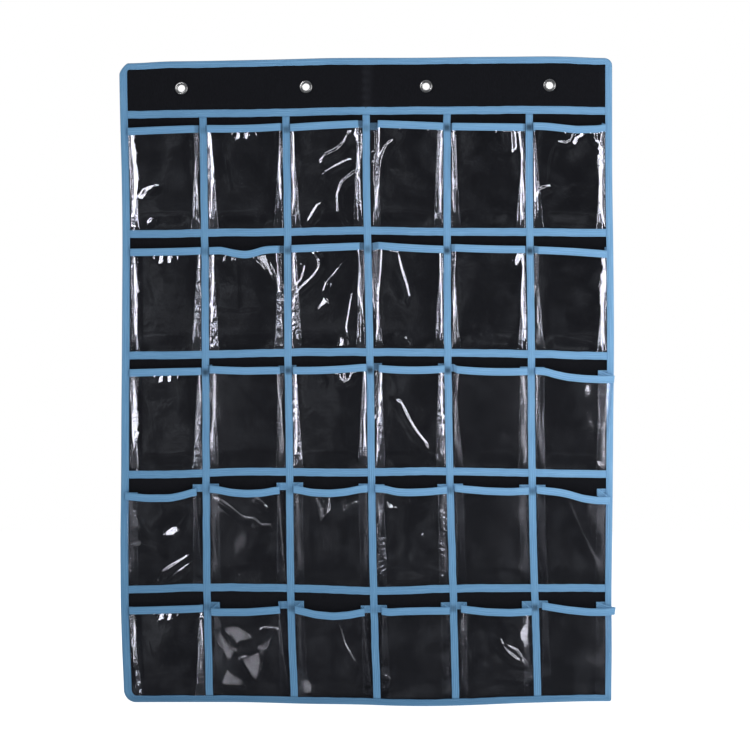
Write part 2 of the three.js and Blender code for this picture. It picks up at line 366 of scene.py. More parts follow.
def math_node(nt, op, a, b=None, c=None):
    n = nt.nodes.new("ShaderNodeMath")
    n.operation = op
    for i, x in enumerate((a, b, c)):
        if x is None:
            continue
        if isinstance(x, (int, float)):
            n.inputs[i].default_value = x
        else:
            nt.links.new(x, n.inputs[i])
    return n.outputs[0]


def mix_colour(nt, fac, a, b, mode="MIX"):
    n = nt.nodes.new("ShaderNodeMix")
    n.data_type = "RGBA"
    n.blend_type = mode
    for sock, x in ((n.inputs[0], fac), (n.inputs[6], a), (n.inputs[7], b)):
        if isinstance(x, (int, float)):
            sock.default_value = x
        elif isinstance(x, tuple):
            sock.default_value = x if len(x) == 4 else (*x, 1)
        else:
            nt.links.new(x, sock)
    return n.outputs[2]


def noise_node(nt, vec, scale, detail=2.0, rough=0.5, dim="3D"):
    n = node(nt, "ShaderNodeTexNoise", noise_dimensions=dim)
    n.inputs["Scale"].default_value = scale
    n.inputs["Detail"].default_value = detail
    n.inputs["Roughness"].default_value = rough
    nt.links.new(vec, n.inputs["Vector"])
    return n.outputs["Fac"]


def ramp(nt, fac, stops):
    n = nt.nodes.new("ShaderNodeValToRGB")
    cr = n.color_ramp
    while len(cr.elements) > 1:
        cr.elements.remove(cr.elements[0])
    cr.elements[0].position = stops[0][0]
    cr.elements[0].color = (*stops[0][1], 1)
    for pos, col in stops[1:]:
        e = cr.elements.new(pos)
        e.color = (*col, 1)
    nt.links.new(fac, n.inputs[0])
    return n.outputs[0]


def bump(nt, height, strength, distance, normal=None):
    b = node(nt, "ShaderNodeBump")
    b.inputs["Strength"].default_value = strength
    b.inputs["Distance"].default_value = distance
    nt.links.new(height, b.inputs["Height"])
    if normal is not None:
        nt.links.new(normal, b.inputs["Normal"])
    return b.outputs[0]


def object_coords(nt):
    return node(nt, "ShaderNodeTexCoord").outputs["Object"]


def make_fabric(name, base, light, tint):
    """Black spun fabric: pressed-dot grid, loose fibres, faint lint and a dull sheen."""
    m, nt, bsdf, _ = material(name, 0.9)
    co = object_coords(nt)
    sep = node(nt, "ShaderNodeSeparateXYZ")
    nt.links.new(co, sep.inputs[0])
    # woven threads, 0.55 mm apart both ways
    k = 2 * math.pi / 0.00055
    wx = math_node(nt, "SINE", math_node(nt, "MULTIPLY", sep.outputs[0], k))
    wz = math_node(nt, "SINE", math_node(nt, "MULTIPLY", sep.outputs[2], k))
    weave = math_node(nt, "MULTIPLY", wx, wz)
    fibre_map = node(nt, "ShaderNodeMapping")
    fibre_map.inputs["Scale"].default_value = (900, 900, 260)
    nt.links.new(co, fibre_map.inputs["Vector"])
    fibre = noise_node(nt, fibre_map.outputs[0], 1.0, 4, 0.6)
    big = noise_node(nt, co, 9.0, 3, 0.55)
    lint = noise_node(nt, co, 520.0, 1, 0.4)
    col = ramp(nt, fibre, [(0.25, base), (0.8, light)])
    col = mix_colour(nt, math_node(nt, "MULTIPLY", big, 0.55), col, tint, "MIX")
    wear = node(nt, "ShaderNodeAttribute", attribute_name="wear").outputs["Fac"]
    col = mix_colour(nt, wear, col, (0.032, 0.034, 0.042))
    speck = math_node(nt, "GREATER_THAN", lint, 0.79)
    col = mix_colour(nt, math_node(nt, "MULTIPLY", speck, 0.18), col, (0.05, 0.05, 0.055))
    nt.links.new(col, bsdf.inputs["Base Color"])
    rough = math_node(nt, "MULTIPLY_ADD", fibre, 0.15, 0.82)
    nt.links.new(rough, bsdf.inputs["Roughness"])
    bsdf.inputs["Specular IOR Level"].default_value = 0.08
    bsdf.inputs["Sheen Weight"].default_value = 0.02
    bsdf.inputs["Sheen Roughness"].default_value = 0.5
    bsdf.inputs["Sheen Tint"].default_value = (0.6, 0.65, 0.8, 1)
    n1 = bump(nt, big, 0.25, 0.004)
    n2 = bump(nt, fibre, 0.5, 0.0003, n1)
    n3 = bump(nt, weave, 0.35, 0.00012, n2)
    nt.links.new(n3, bsdf.inputs["Normal"])
    return m


def make_tape(name, base, dark, light):
    """Folded binding tape: fine ribs along it, cross threads, faded crowns, and painted shade as darker lines along its
    ribs for the grooves of its stitching. UVs run along the tape (u) and across it (v), 100 mm to a unit."""
    m, nt, bsdf, _ = material(name, 0.62)
    uv = node(nt, "ShaderNodeTexCoord").outputs["UV"]
    co = object_coords(nt)
    sep = node(nt, "ShaderNodeSeparateXYZ")
    nt.links.new(uv, sep.inputs[0])
    ribs = math_node(nt, "SINE", math_node(nt, "MULTIPLY", sep.outputs[1], 2 * math.pi * 100 / 2.5))
    cross = math_node(nt, "SINE", math_node(nt, "MULTIPLY", sep.outputs[0], 2 * math.pi * 100 / 0.75))
    fine = math_node(nt, "MULTIPLY", ribs, cross)
    streak_map = node(nt, "ShaderNodeMapping")
    streak_map.inputs["Scale"].default_value = (2.2, 75.0, 1.0)
    nt.links.new(uv, streak_map.inputs["Vector"])
    streak = noise_node(nt, streak_map.outputs[0], 1.0, 3, 0.6)
    patch = noise_node(nt, co, 14.0, 3, 0.55)
    fibre = noise_node(nt, co, 1400.0, 2, 0.6)
    col = ramp(nt, streak, [(0.3, dark), (0.52, base), (0.75, light)])
    col = mix_colour(nt, math_node(nt, "MULTIPLY", patch, 0.22), col, dark)
    # painted shade: the ribs darkened in turn, standing in for shade in the grooves along the tape
    rib_shade = math_node(nt, "MULTIPLY_ADD", ribs, 0.5, 0.5)
    col = mix_colour(nt, math_node(nt, "MULTIPLY", rib_shade, 0.22), col, dark)
    col = mix_colour(nt, math_node(nt, "MULTIPLY", fibre, 0.10), col, light)
    # painted shade: the tape darkened towards a deep blue where its shade value is set, in the hollows between mouths
    # and on the plies inside the pleats
    shade = node(nt, "ShaderNodeAttribute", attribute_name="shade").outputs["Fac"]
    painted_shade_colour = tuple(c * 0.13 for c in dark)
    col = mix_colour(nt, shade, col, painted_shade_colour)
    # painted light and shade: the tape brightened or darkened by a value set per vertex from its place on the object
    painted_light_fac = node(nt, "ShaderNodeAttribute", attribute_name="tone").outputs["Fac"]
    tone = node(nt, "ShaderNodeHueSaturation")
    nt.links.new(math_node(nt, "ADD", painted_light_fac, 1.0), tone.inputs["Value"])
    nt.links.new(math_node(nt, "MULTIPLY_ADD", painted_light_fac, -0.16, 1.0), tone.inputs["Saturation"])
    nt.links.new(col, tone.inputs["Color"])
    nt.links.new(tone.outputs[0], bsdf.inputs["Base Color"])
    nt.links.new(math_node(nt, "MULTIPLY_ADD", streak, 0.25, 0.48), bsdf.inputs["Roughness"])
    bsdf.inputs["Specular IOR Level"].default_value = 0.3
    bsdf.inputs["Sheen Weight"].default_value = 0.12
    bsdf.inputs["Sheen Tint"].default_value = (0.75, 0.88, 1.0, 1)
    n1 = bump(nt, streak, 0.35, 0.0008)
    n2 = bump(nt, ribs, 0.6, 0.00022, n1)
    n3 = bump(nt, fine, 0.4, 0.00008, n2)
    nt.links.new(n3, bsdf.inputs["Normal"])
    return m


def make_thread(name, base, light):
    m, nt, bsdf, _ = material(name, 0.55)
    co = object_coords(nt)
    w = node(nt, "ShaderNodeTexWave", wave_type="BANDS", bands_direction="DIAGONAL")
    w.inputs["Scale"].default_value = 1300
    w.inputs["Distortion"].default_value = 1.5
    nt.links.new(co, w.inputs["Vector"])
    col = mix_colour(nt, w.outputs["Fac"], base, light)
    nt.links.new(col, bsdf.inputs["Base Color"])
    nt.links.new(bump(nt, w.outputs["Fac"], 0.5, 0.00006), bsdf.inputs["Normal"])
    bsdf.inputs["Sheen Weight"].default_value = 0.2
    return m


def make_film(name):
    """Clear soft vinyl: see-through, with a mirror-like glint that grows at grazing
    angles, soft smears of handling haze and fine scuffs in its gloss."""
    m = bpy.data.materials.new(name)
    m.use_nodes = True
    nt = m.node_tree
    nt.nodes.clear()
    out = nt.nodes.new("ShaderNodeOutputMaterial")
    co = object_coords(nt)
    geo = node(nt, "ShaderNodeNewGeometry")
    dot = node(nt, "ShaderNodeVectorMath", operation="DOT_PRODUCT")
    smear = noise_node(nt, co, 30.0, 4, 0.6)
    scuff_map = node(nt, "ShaderNodeMapping")
    scuff_map.inputs["Scale"].default_value = (160, 160, 30)
    scuff_map.inputs["Rotation"].default_value = (0, 0.25, 0)
    nt.links.new(co, scuff_map.inputs["Vector"])
    scuff = noise_node(nt, scuff_map.outputs[0], 1.0, 3, 0.7)
    dull = node(nt, "ShaderNodeAttribute", attribute_name="dull").outputs["Fac"]
    ripple = noise_node(nt, co, 75.0, 2, 0.5)
    nrm = bump(nt, ripple, 0.12, 0.0012)
    nt.links.new(nrm, dot.inputs[0])
    nt.links.new(geo.outputs["Incoming"], dot.inputs[1])
    c = math_node(nt, "ABSOLUTE", dot.outputs["Value"])
    g = math_node(nt, "POWER", math_node(nt, "SUBTRACT", 1.0, c), 5.0)
    refl = math_node(nt, "MULTIPLY_ADD", g, 0.9, 0.045)
    refl = math_node(nt, "MINIMUM", refl, 0.85)
    refl = math_node(nt, "MULTIPLY", refl, math_node(nt, "MULTIPLY_ADD", dull, -0.55, 1.0))
    lost = node(nt, "ShaderNodeAttribute", attribute_name="lost").outputs["Fac"]
    refl = math_node(nt, "MULTIPLY", refl, math_node(nt, "MULTIPLY_ADD", lost, -0.85, 1.0))
    clear = node(nt, "ShaderNodeBsdfTransparent")
    clear.inputs["Color"].default_value = (0.985, 0.988, 0.993, 1)
    gloss = node(nt, "ShaderNodeBsdfGlossy")
    gloss.inputs["Color"].default_value = (0.93, 0.94, 1.0, 1)
    rough = math_node(nt, "MULTIPLY_ADD", scuff, 0.04, 0.015)
    nt.links.new(math_node(nt, "MULTIPLY_ADD", dull, 0.13, rough), gloss.inputs["Roughness"])
    nt.links.new(nrm, gloss.inputs["Normal"])
    haze = node(nt, "ShaderNodeBsdfDiffuse")
    haze.inputs["Color"].default_value = (0.75, 0.8, 0.9, 1)
    veil = math_node(nt, "MULTIPLY", math_node(nt, "MAXIMUM", math_node(nt, "SUBTRACT", smear, 0.5), 0.0), 0.035)
    m1 = node(nt, "ShaderNodeMixShader")
    nt.links.new(veil, m1.inputs[0])
    nt.links.new(clear.outputs[0], m1.inputs[1])
    nt.links.new(haze.outputs[0], m1.inputs[2])
    m2 = node(nt, "ShaderNodeMixShader")
    nt.links.new(refl, m2.inputs[0])
    nt.links.new(m1.outputs[0], m2.inputs[1])
    nt.links.new(gloss.outputs[0], m2.inputs[2])
    nt.links.new(m2.outputs[0], out.inputs["Surface"])
    return m


def make_metal(name):
    """Bright nickel plate: faint tarnish and pin scratches."""
    m, nt, bsdf, _ = material(name, 0.18, 1.0)
    co = object_coords(nt)
    tarnish = noise_node(nt, co, 260.0, 4, 0.6)
    scratch_map = node(nt, "ShaderNodeMapping")
    scratch_map.inputs["Scale"].default_value = (500, 500, 4200)
    scratch_map.inputs["Rotation"].default_value = (0, 0.6, 0)
    nt.links.new(co, scratch_map.inputs["Vector"])
    scratch = noise_node(nt, scratch_map.outputs[0], 1.0, 2, 0.5)
    col = ramp(nt, tarnish, [(0.3, (0.66, 0.66, 0.68)), (0.7, (0.82, 0.81, 0.80))])
    nt.links.new(col, bsdf.inputs["Base Color"])
    nt.links.new(math_node(nt, "MULTIPLY_ADD", tarnish, 0.12, 0.06), bsdf.inputs["Roughness"])
    nt.links.new(bump(nt, scratch, 0.15, 0.00004), bsdf.inputs["Normal"])
    return m


FABRIC = make_fabric("black_fabric_mat", (0.0066, 0.0069, 0.0086), (0.0145, 0.0150, 0.0190), (0.0103, 0.0109, 0.0140))
TAPE = make_tape("blue_tape_mat", (0.176, 0.392, 0.645), (0.132, 0.313, 0.545), (0.238, 0.468, 0.72))
THREAD = make_thread("blue_thread_mat", (0.11, 0.27, 0.48), (0.24, 0.44, 0.68))
DARK_THREAD = make_thread("dark_thread_mat", (0.012, 0.013, 0.016), (0.035, 0.037, 0.045))
FILM = make_film("clear_film_mat")
METAL = make_metal("nickel_mat")


# ---------------------------------------------------------------- backing and header
CORNER_SEG = 10


def rim(inset, side_step=8.0):
    """The outline at an inset, ruled coordinates, counter-clockwise seen from the front.
    Every inset gives the same number of points, so rims can be skinned together."""
    x0, x1, z0, z1 = X_LEFT + inset, X_RIGHT - inset, Z_BOTTOM + inset, Z_TOP - inset
    x0 -= 1.1 * max(0.0, 1 - inset / 6.0)
    shapes = [  # corner x, z, radius along x, along z, squareness, first angle
        (1, 1, 10.0, 10.0, 1.0, 0.0),
        (-1, 1, 11.0, 14.5, 1.55, 90.0),
        (-1, -1, 15.0, 17.0, 1.0, 180.0),
        (1, -1, 3.0, 3.0, 1.0, 270.0),
    ]
    corner_pts = []
    for sx, sz, rx, rz, p, a0 in shapes:
        rx, rz = max(rx - inset, 0.6), max(rz - inset, 0.6)
        p = 1 + (p - 1) * max(0.0, 1 - inset / 9.0)
        cx = (x1 if sx > 0 else x0) - sx * rx
        cz = (z1 if sz > 0 else z0) - sz * rz
        pts = []
        for i in range(CORNER_SEG + 1):
            a = math.radians(a0 + 90.0 * i / CORNER_SEG)
            ca, sa = math.cos(a), math.sin(a)
            pts.append((cx + rx * math.copysign(abs(ca) ** p, ca), cz + rz * math.copysign(abs(sa) ** p, sa)))
        corner_pts.append(pts)
    out = []
    lengths = [X_RIGHT - X_LEFT, Z_TOP - Z_BOTTOM] * 2
    for i in range(4):
        a, b = corner_pts[i], corner_pts[(i + 1) % 4]
        out += a
        n = int(lengths[i] / side_step)
        for k in range(1, n):
            t = k / n
            out.append((a[-1][0] * (1 - t) + b[0][0] * t, a[-1][1] * (1 - t) + b[0][1] * t))
    return np.array(out)


PUCKER = noise_maker(11, 14, 0.25, 0.7)
DRAPE = noise_maker(12, 12, 0.03, 0.11)
CREASE = noise_maker(13, 6, 0.02, 0.06)


def seam_distance(x, z):
    """Distance in mm to the nearest sewn line."""
    x, z = np.asarray(x, float), np.asarray(z, float)
    d = np.full(np.broadcast(x, z).shape, 1e3)
    for c in COL_EDGES[1:-1]:
        d = np.minimum(d, np.where(z < HEAD_Z, np.abs(x - c), 1e3))
    for s in SEAM_Z + [HEAD_Z]:
        d = np.minimum(d, np.abs(z - s))
    d = np.minimum(d, np.minimum(x - X_LEFT, X_RIGHT - x))
    return np.minimum(d, np.minimum(z - Z_BOTTOM, Z_TOP - z))


def panel(name, z_from, d_rear, thick, nodes, holes, relief, inset=1.2, step=5.5):
    """A cloth panel with punched holes, triangulated inside its outline and given
    thickness, with puckers along its seams and soft drape between them."""
    ring = rim(inset)
    if z_from is not None:
        keep = ring[ring[:, 1] > z_from + 3]
        # the kept run starts at the right side and ends at the left
        order = np.argsort(np.arctan2(keep[:, 1] - z_from, keep[:, 0]))
        keep = keep[order]
        xs = np.arange(X_LEFT + inset, X_RIGHT - inset + 0.1, step)
        low = np.stack([xs, np.full(len(xs), z_from)], 1)
        low[-1, 0] = X_RIGHT - inset
        ring = np.concatenate([low, keep])
    pts = [tuple(p) for p in ring]
    edges = [(i, (i + 1) % len(ring)) for i in range(len(ring))]
    for hx, hz in holes:
        base = len(pts)
        n = 28
        for i in range(n):
            a = 2 * math.pi * i / n
            pts.append((hx + 5.4 * math.cos(a), hz + 5.4 * math.sin(a)))
            edges.append((base + i, base + (i + 1) % n))
    zlo = Z_BOTTOM if z_from is None else z_from
    gx = np.arange(X_LEFT + inset + step * 0.6, X_RIGHT - inset - 1.5, step)
    gz = np.arange(zlo + step * 0.6, Z_TOP - inset - 1.5, step)
    inner = rim(inset + 2.6)
    for j, z in enumerate(gz):
        for x in gx + (step / 2 if j % 2 else 0):
            if x > X_RIGHT - inset - 2:
                continue
            if any((x - h) ** 2 + (z - k) ** 2 < 8.2**2 for h, k in holes):
                continue
            # stay out of the rounded corners
            if (abs(x) > X_RIGHT - 20) and (z < 22 or z > Z_TOP - 22):
                cx, cz = math.copysign(X_RIGHT - 20, x), (22 if z < 22 else Z_TOP - 22)
                if (x - cx) ** 2 + (z - cz) ** 2 > 17.5**2:
                    continue
            pts.append((x, z))
    tri = delaunay_2d_cdt([Vector(p) for p in pts], edges, [], 0, 1e-5)
    P = np.array([tuple(v) for v in tri[0]])
    F = np.array([f for f in tri[2] if len(f) == 3])
    mid = P[F].mean(1)
    ok = np.ones(len(F), bool)
    for h, k in holes:
        ok &= (mid[:, 0] - h) ** 2 + (mid[:, 1] - k) ** 2 > 5.35**2
    # inside the outline: a crossing count against the ring
    x, z = mid[:, 0], mid[:, 1]
    inside = np.zeros(len(F), bool)
    a, b = ring, np.roll(ring, -1, 0)
    for (ax, az), (bx, bz) in zip(a, b):
        hit = ((az > z) != (bz > z)) & (x < (bx - ax) * (z - az) / (bz - az + 1e-12) + ax)
        inside ^= hit
    F = F[ok & inside]
    used = np.unique(F)
    remap = -np.ones(len(P), int)
    remap[used] = np.arange(len(used))
    P, F = P[used], remap[F]
    x, z = P[:, 0], P[:, 1]
    sd = seam_distance(x, z)
    near_hole = np.ones(len(P))
    for h, k in holes:
        near_hole = np.minimum(near_hole, smooth((np.hypot(x - h, z - k) - 9.5) / 10))
    lift = relief * near_hole * (
        0.28 * PUCKER(x, z) * np.exp(-((sd / 9.0) ** 2)) + 0.55 * DRAPE(x, z) * smooth((sd - 4) / 22)
    )
    if z_from is not None:  # the header was stored folded: a soft standing crease down its middle
        lift = lift + near_hole * (0.55 * np.exp(-((x / 2.6) ** 2)) + 0.35 * np.exp(-(((x - 4.5) / 5.0) ** 2)))
    lift = np.minimum(lift, 0.25 * thick + 0.35)
    wx, wz = hang_x(x, z), hang_z(x, z)
    front = world(wx, d_rear + thick + lift, wz, x, z)
    rear = world(wx, d_rear + (lift * 0.6 if z_from is None else 0), wz, x, z)
    # edges used by one triangle are the border
    count = {}
    for t in F:
        for i in range(3):
            e = (int(t[i]), int(t[(i + 1) % 3]))
            count[e] = True
    n = len(P)
    faces = []
    for t in F:
        p, q, r = P[t[0]], P[t[1]], P[t[2]]
        ccw = (q[0] - p[0]) * (r[1] - p[1]) - (q[1] - p[1]) * (r[0] - p[0]) > 0
        f = (t[0], t[1], t[2]) if ccw else (t[0], t[2], t[1])
        # seen from the front (-Y) with +X right and +Z up, counter-clockwise faces the viewer
        faces.append(tuple(int(i) for i in f))
    border = {}
    for f in faces:
        for i in range(3):
            e = (f[i], f[(i + 1) % 3])
            border[e] = True
    walls = [(b_, a_, a_ + n, b_ + n) for (a_, b_) in border if (b_, a_) not in border]
    quads = faces + [tuple(i + n for i in f[::-1]) for f in faces] + walls
    b = Build()
    wear = np.zeros(len(P))
    if z_from is not None:
        wear = 0.42 * np.exp(-(((x + 1.5) / 1.6) ** 2)) + 0.26 * np.exp(-(((x - 3.5) / 2.4) ** 2)) + 0.12 * np.exp(-(((x - 1.0) / 7.0) ** 2))
        wear = wear + 0.3 * np.exp(-(((x - X_RIGHT + 12.5) / 2.2) ** 2)) * smooth((z - HEAD_Z - 18) / 14) * (0.6 + 0.4 * DRAPE(x, z))
    b.add(np.concatenate([front, rear]), quads, np.concatenate([P, P]), wear=np.concatenate([wear, wear * 0]))
    o = b.object(name, [FABRIC])
    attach(o, "backing")
    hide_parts(*nodes)
    return o


HANG_AT = [(x + a, GROM_Z + b) for x, (a, b) in zip(GROM_X, GROM_AT)]
HOLES = [ruled_of(x, z) for x, z in HANG_AT]
panel("cloth_back", None, 0.0, 1.0, ["back_panel"], HOLES, 1.0)
panel("cloth_header", HEAD_Z - 2.0, 1.12, 1.0, ["header_panel"], HOLES, 0.8)


# ------------------------------------------------------------------------------ tapes
def across(width, n=9):
    """Places across a tape and how thick it is there, for softly rounded edges."""
    v = np.sin(np.linspace(-np.pi / 2, np.pi / 2, n)) * (width / 2)
    t = np.sqrt(np.clip(1 - (np.abs(v) / (width / 2)) ** 6, 0.02, 1))
    return v, t


TAPE_EDGE = noise_maker(21, 8, 0.05, 0.4)


def straight_tape(name, node_name, along, fixed, vertical, depth, thick=0.62, rows=(-3.3, 3.3), shade=None, seed=1, width=None):
    """A tape along a ruled line, bent to how the cloth hangs. depth(u) is its middle
    depth at each place along it; rows are its lines of stitches."""
    v, t = across(width or TAPE_W)
    U, Vv = np.meshgrid(along, v, indexing="ij")
    wob = 0.22 * TAPE_EDGE(U * 1.0, seed * 37.0) * np.abs(Vv) / (TAPE_W / 2)
    if vertical:
        rx, rz = fixed + Vv + wob, U
    else:
        rx, rz = U, fixed + Vv + wob
    wx, wz = hang_x(rx, rz), hang_z(rx, rz)
    if vertical:  # the tape's own width isn't squeezed by the cloth's sway
        cx = hang_x(np.full_like(U, fixed), U)
        wx = cx + Vv + wob
    groove = sum(-0.16 * np.exp(-(((Vv - r) / 0.55) ** 2)) for r in rows)
    D = depth(U) + 0.10 * np.cos(Vv / (TAPE_W / 2) * np.pi / 2) + 0.10 * TAPE_EDGE(U * 0.35 + 50, seed * 11.0 + Vv * 0.2)
    P = world(wx, D, wz, rx, rz)
    n = normals_of(P)
    flip = n[..., 1].mean() > 0
    if flip:
        P, U, Vv, D, wob = P[:, ::-1], U[:, ::-1], Vv[:, ::-1], D[:, ::-1], wob[:, ::-1]
        n = normals_of(P)
    groove = sum(-0.16 * np.exp(-(((Vv - r) / 0.55) ** 2)) for r in rows)
    P2 = P + n * (groove / 2)[..., None]
    T = thick * np.broadcast_to(t, U.shape) + groove
    uv = np.stack([U, Vv], -1)
    vv, q, uu = grid_shell(P2, T, uv, normals=n)
    b = Build()
    sh = np.zeros(U.shape) if shade is None else shade(U, Vv)
    tn = painted_light_at(P2)
    b.add(vv, q, uu, 0, shade=np.tile(sh.ravel(), 2), tone=np.tile(tn.ravel(), 2))
    for k, r in enumerate(rows):
        j = int(np.argmin(np.abs(Vv[0] - r)))
        f = (r - Vv[0][j]) / (TAPE_W) * 0
        line = P2[:, j] + n[:, j] * (T[:, j] / 2)[:, None]
        st = stitches(line, n[:, j], seed=seed * 7 + k)
        if st:
            b.add(st[0], st[1], None, 1)
    o = b.object(name, [TAPE, THREAD])
    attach(o, "backing")
    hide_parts(node_name)
    return o


def painted_light_at(P):
    """Painted light and shade on the tape over the object: brighter to the upper right, darker towards the lower left."""
    x, z = P[..., 0], P[..., 2]
    place = [0.0, 150.0, 305.0, 460.0, 615.0, 830.0]
    mean = np.interp(z, place, [-0.11, -0.04, 0.13, 0.13, 0.09, 0.0])
    side = np.interp(z, place, [0.07, 0.08, 0.15, 0.10, 0.08, 0.04])
    return 0.07 * (x / 317.0) + 0.10 * ((z - 419.0) / 419.0) - 0.02 + mean + side * x / 317.0


def near(u, centre, half, ramp_mm):
    return smooth((half + ramp_mm - np.abs(u - centre)) / ramp_mm)


STEP = 2.6


def seam_depth(u):
    """Seam tapes ride up over the pleats on each side of every divider."""
    d = np.full(np.shape(u), 1.78)
    for c in COL_EDGES:
        d = d + 0.62 * near(u, c, 15.0, 5.0)
    return np.minimum(d, 2.42)


xs_all = np.arange(X_LEFT + 1.0, X_RIGHT - 0.9, STEP)
straight_tape("sewn_header_tape", "header_tape", xs_all, HEAD_Z, False, lambda u: np.full(np.shape(u), 2.5), seed=2)
for i, z in enumerate(SEAM_Z):
    straight_tape(f"sewn_seam_tape_{i + 1}", f"seam_tape_{i + 1}", xs_all, z, False, seam_depth, seed=3 + i)

MOUTH_H = 9.6


def divider_depth(c):
    def f(u):
        d = np.full(np.shape(u), 1.95)
        for z in SEAM_Z:
            d = np.maximum(d, 1.95 + 1.15 * near(u, z, 4.5, 5.0))
        for z in ROW_TOP:
            d = np.maximum(d, 1.95 + 0.95 * near(u, z - MOUTH_H / 2 - 2.0, 6.5, 5.0))
        return d

    return f


# how strongly each divider sinks into shadow between the two mouths it parts,
# by row (outer list) and divider
DIP = [
    [0.25, 0.55, 0.30, 0.75, 0.80],
    [0.30, 0.55, 0.45, 0.80, 0.85],
    [0.75, 0.70, 0.85, 0.75, 0.30],
    [0.15, 0.25, 0.10, 0.45, 0.50],
    [0.35, 0.45, 0.20, 0.45, 0.65],
]


def divider_shade(i):
    def f(U, V):
        s = np.zeros(U.shape)
        for r, z in enumerate(ROW_TOP):
            mid = z - MOUTH_H / 2 - (1.0 if r < 3 else 2.5)
            s = np.maximum(s, DIP[r][i] * np.exp(-(((U - mid) / 4.6) ** 4)) * np.exp(-((V / 4.4) ** 4)))
        return np.clip(s * 1.15, 0, 0.93)

    return f


zs_div = np.arange(Z_BOTTOM + 1.5, HEAD_Z - 2.6, STEP)
for i, x in enumerate(DIV_X):
    straight_tape(f"sewn_divider_tape_{i + 1}", f"divider_tape_{i + 1}", zs_div, x, True, divider_depth(i), seed=11 + i, shade=divider_shade(i), width=TAPE_W - 0.6)


# ----------------------------------------------------------------------- edge binding
def edge_binding():
    """One tape folded round the whole edge: front leg, rolled edge, rear leg."""
    t = 0.62
    front_d, rear_d = 3.3, -0.42
    r = (front_d - rear_d) / 2
    prof = []  # inset, depth of the middle of the tape
    leg = np.linspace(EDGE_W, 1.9, 8)
    for a in leg:
        prof.append((a, front_d - 0.25 * smooth((a - 4) / 5.0)))
    for a in np.linspace(0, np.pi, 11)[1:-1]:
        prof.append((1.9 - 1.6 * math.sin(a), (front_d + rear_d) / 2 + r * math.cos(a)))
    for a in leg[::-1]:
        prof.append((a, rear_d))
    prof = np.array(prof)
    rims = [rim(max(a, 0.0), 2.6) for a, _ in prof]
    n_pts = len(rims[0])
    P = np.zeros((n_pts, len(prof), 3))
    R = np.zeros((n_pts, len(prof), 2))
    width = np.concatenate([[0], np.cumsum(np.hypot(*np.diff(prof, axis=0).T))])
    base = rims[0]
    run = np.concatenate([[0], np.cumsum(np.hypot(*np.diff(base, axis=0).T))])
    for j, (a, d) in enumerate(prof):
        x, z = rims[j][:, 0], rims[j][:, 1]
        wob = 0.25 * TAPE_EDGE(run * 0.9, 77.0 + (0 if j < len(prof) / 2 else 9)) * smooth((a - 5) / 4)
        puff = 0.14 * TAPE_EDGE(run * 0.3, 31.0 + a * 0.2)
        P[:, j] = world(hang_x(x, z), d + puff, hang_z(x, z) + wob, x, z)
        R[:, j, 0], R[:, j, 1] = run, width[j]
    n = normals_of(P, close=True)
    j0 = 3
    if n[: 40, j0, 1].mean() > 0:  # the front leg's normals face the viewer
        P, R, prof = P[:, ::-1], R[:, ::-1], prof[::-1]
        n = normals_of(P, close=True)
    front_cols = [j for j in range(len(prof)) if prof[j][1] > 2.0 and prof[j][0] > 2.5]
    edge_t = np.ones(len(prof))
    edge_t[0] = edge_t[-1] = 0.3
    groove = np.zeros(P.shape[:2])
    for j in range(len(prof)):
        groove[:, j] = -0.16 * math.exp(-(((prof[j][0] - 7.0) / 0.6) ** 2))
    T = t * edge_t[None, :] + groove
    vv, q, uu = grid_shell(P, T, R, close=True, normals=n)
    b = Build()
    tn = painted_light_at(P)
    low = -0.16 * smooth((14.0 - P[..., 2]) / 10.0)  # the lower edge turns away from the light
    sh = np.zeros(P.shape[:2])
    b.add(vv, q, uu, 0, shade=np.tile(sh.ravel(), 2), tone=np.tile((tn + low).ravel(), 2))
    jj = min(front_cols, key=lambda j: abs(prof[j][0] - 7.0))
    rear_cols = [j for j in range(len(prof)) if prof[j][1] < 0.5 and prof[j][0] > 2.5]
    jr = min(rear_cols, key=lambda j: abs(prof[j][0] - 7.0))
    for k, (j, mat) in enumerate(((jj, 1), (jr, 1))):
        line = P[:, j] + n[:, j] * (T[:, j] / 2)[:, None]
        line = np.concatenate([line, line[:1]])
        nn = np.concatenate([n[:, j], n[:1, j]])
        st = stitches(line, nn, seed=90 + k, start=0.2, end=0.2)
        b.add(st[0], st[1], None, mat)
    o = b.object("sewn_edge_binding", [TAPE, THREAD])
    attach(o, "backing")
    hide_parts("edge_binding")


edge_binding()


# ---------------------------------------------------------------------- rear stitching
def rear_threads():
    """Bobbin threads of the seams, dividers and header on the panel's rear."""
    b = Build()
    k = 0
    def line(xs, zs):
        nonlocal k
        wx, wz = hang_x(xs, zs), hang_z(xs, zs)
        P = world(wx, -0.02 + 0 * xs, wz, xs, zs)
        st = stitches(P, np.tile([0, 1.0, 0], (len(P), 1)), seed=200 + k, spacing=3.3, length=2.5, radius=0.17, lift=0.05)
        b.add(st[0], st[1], None, 0)
        k += 1

    zz = np.arange(12.0, HEAD_Z - 5, 6.0)
    for x in DIV_X:
        for o in (-3.3, 3.3):
            line(np.full(len(zz), x + o), zz)
    xx = np.arange(X_LEFT + 11, X_RIGHT - 10.9, 6.0)
    for z in SEAM_Z + [HEAD_Z]:
        for o in (-3.3, 3.3):
            line(xx, np.full(len(xx), z + o))
    o = b.object("rear_bobbin_threads", [DARK_THREAD])
    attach(o, "backing")


rear_threads()


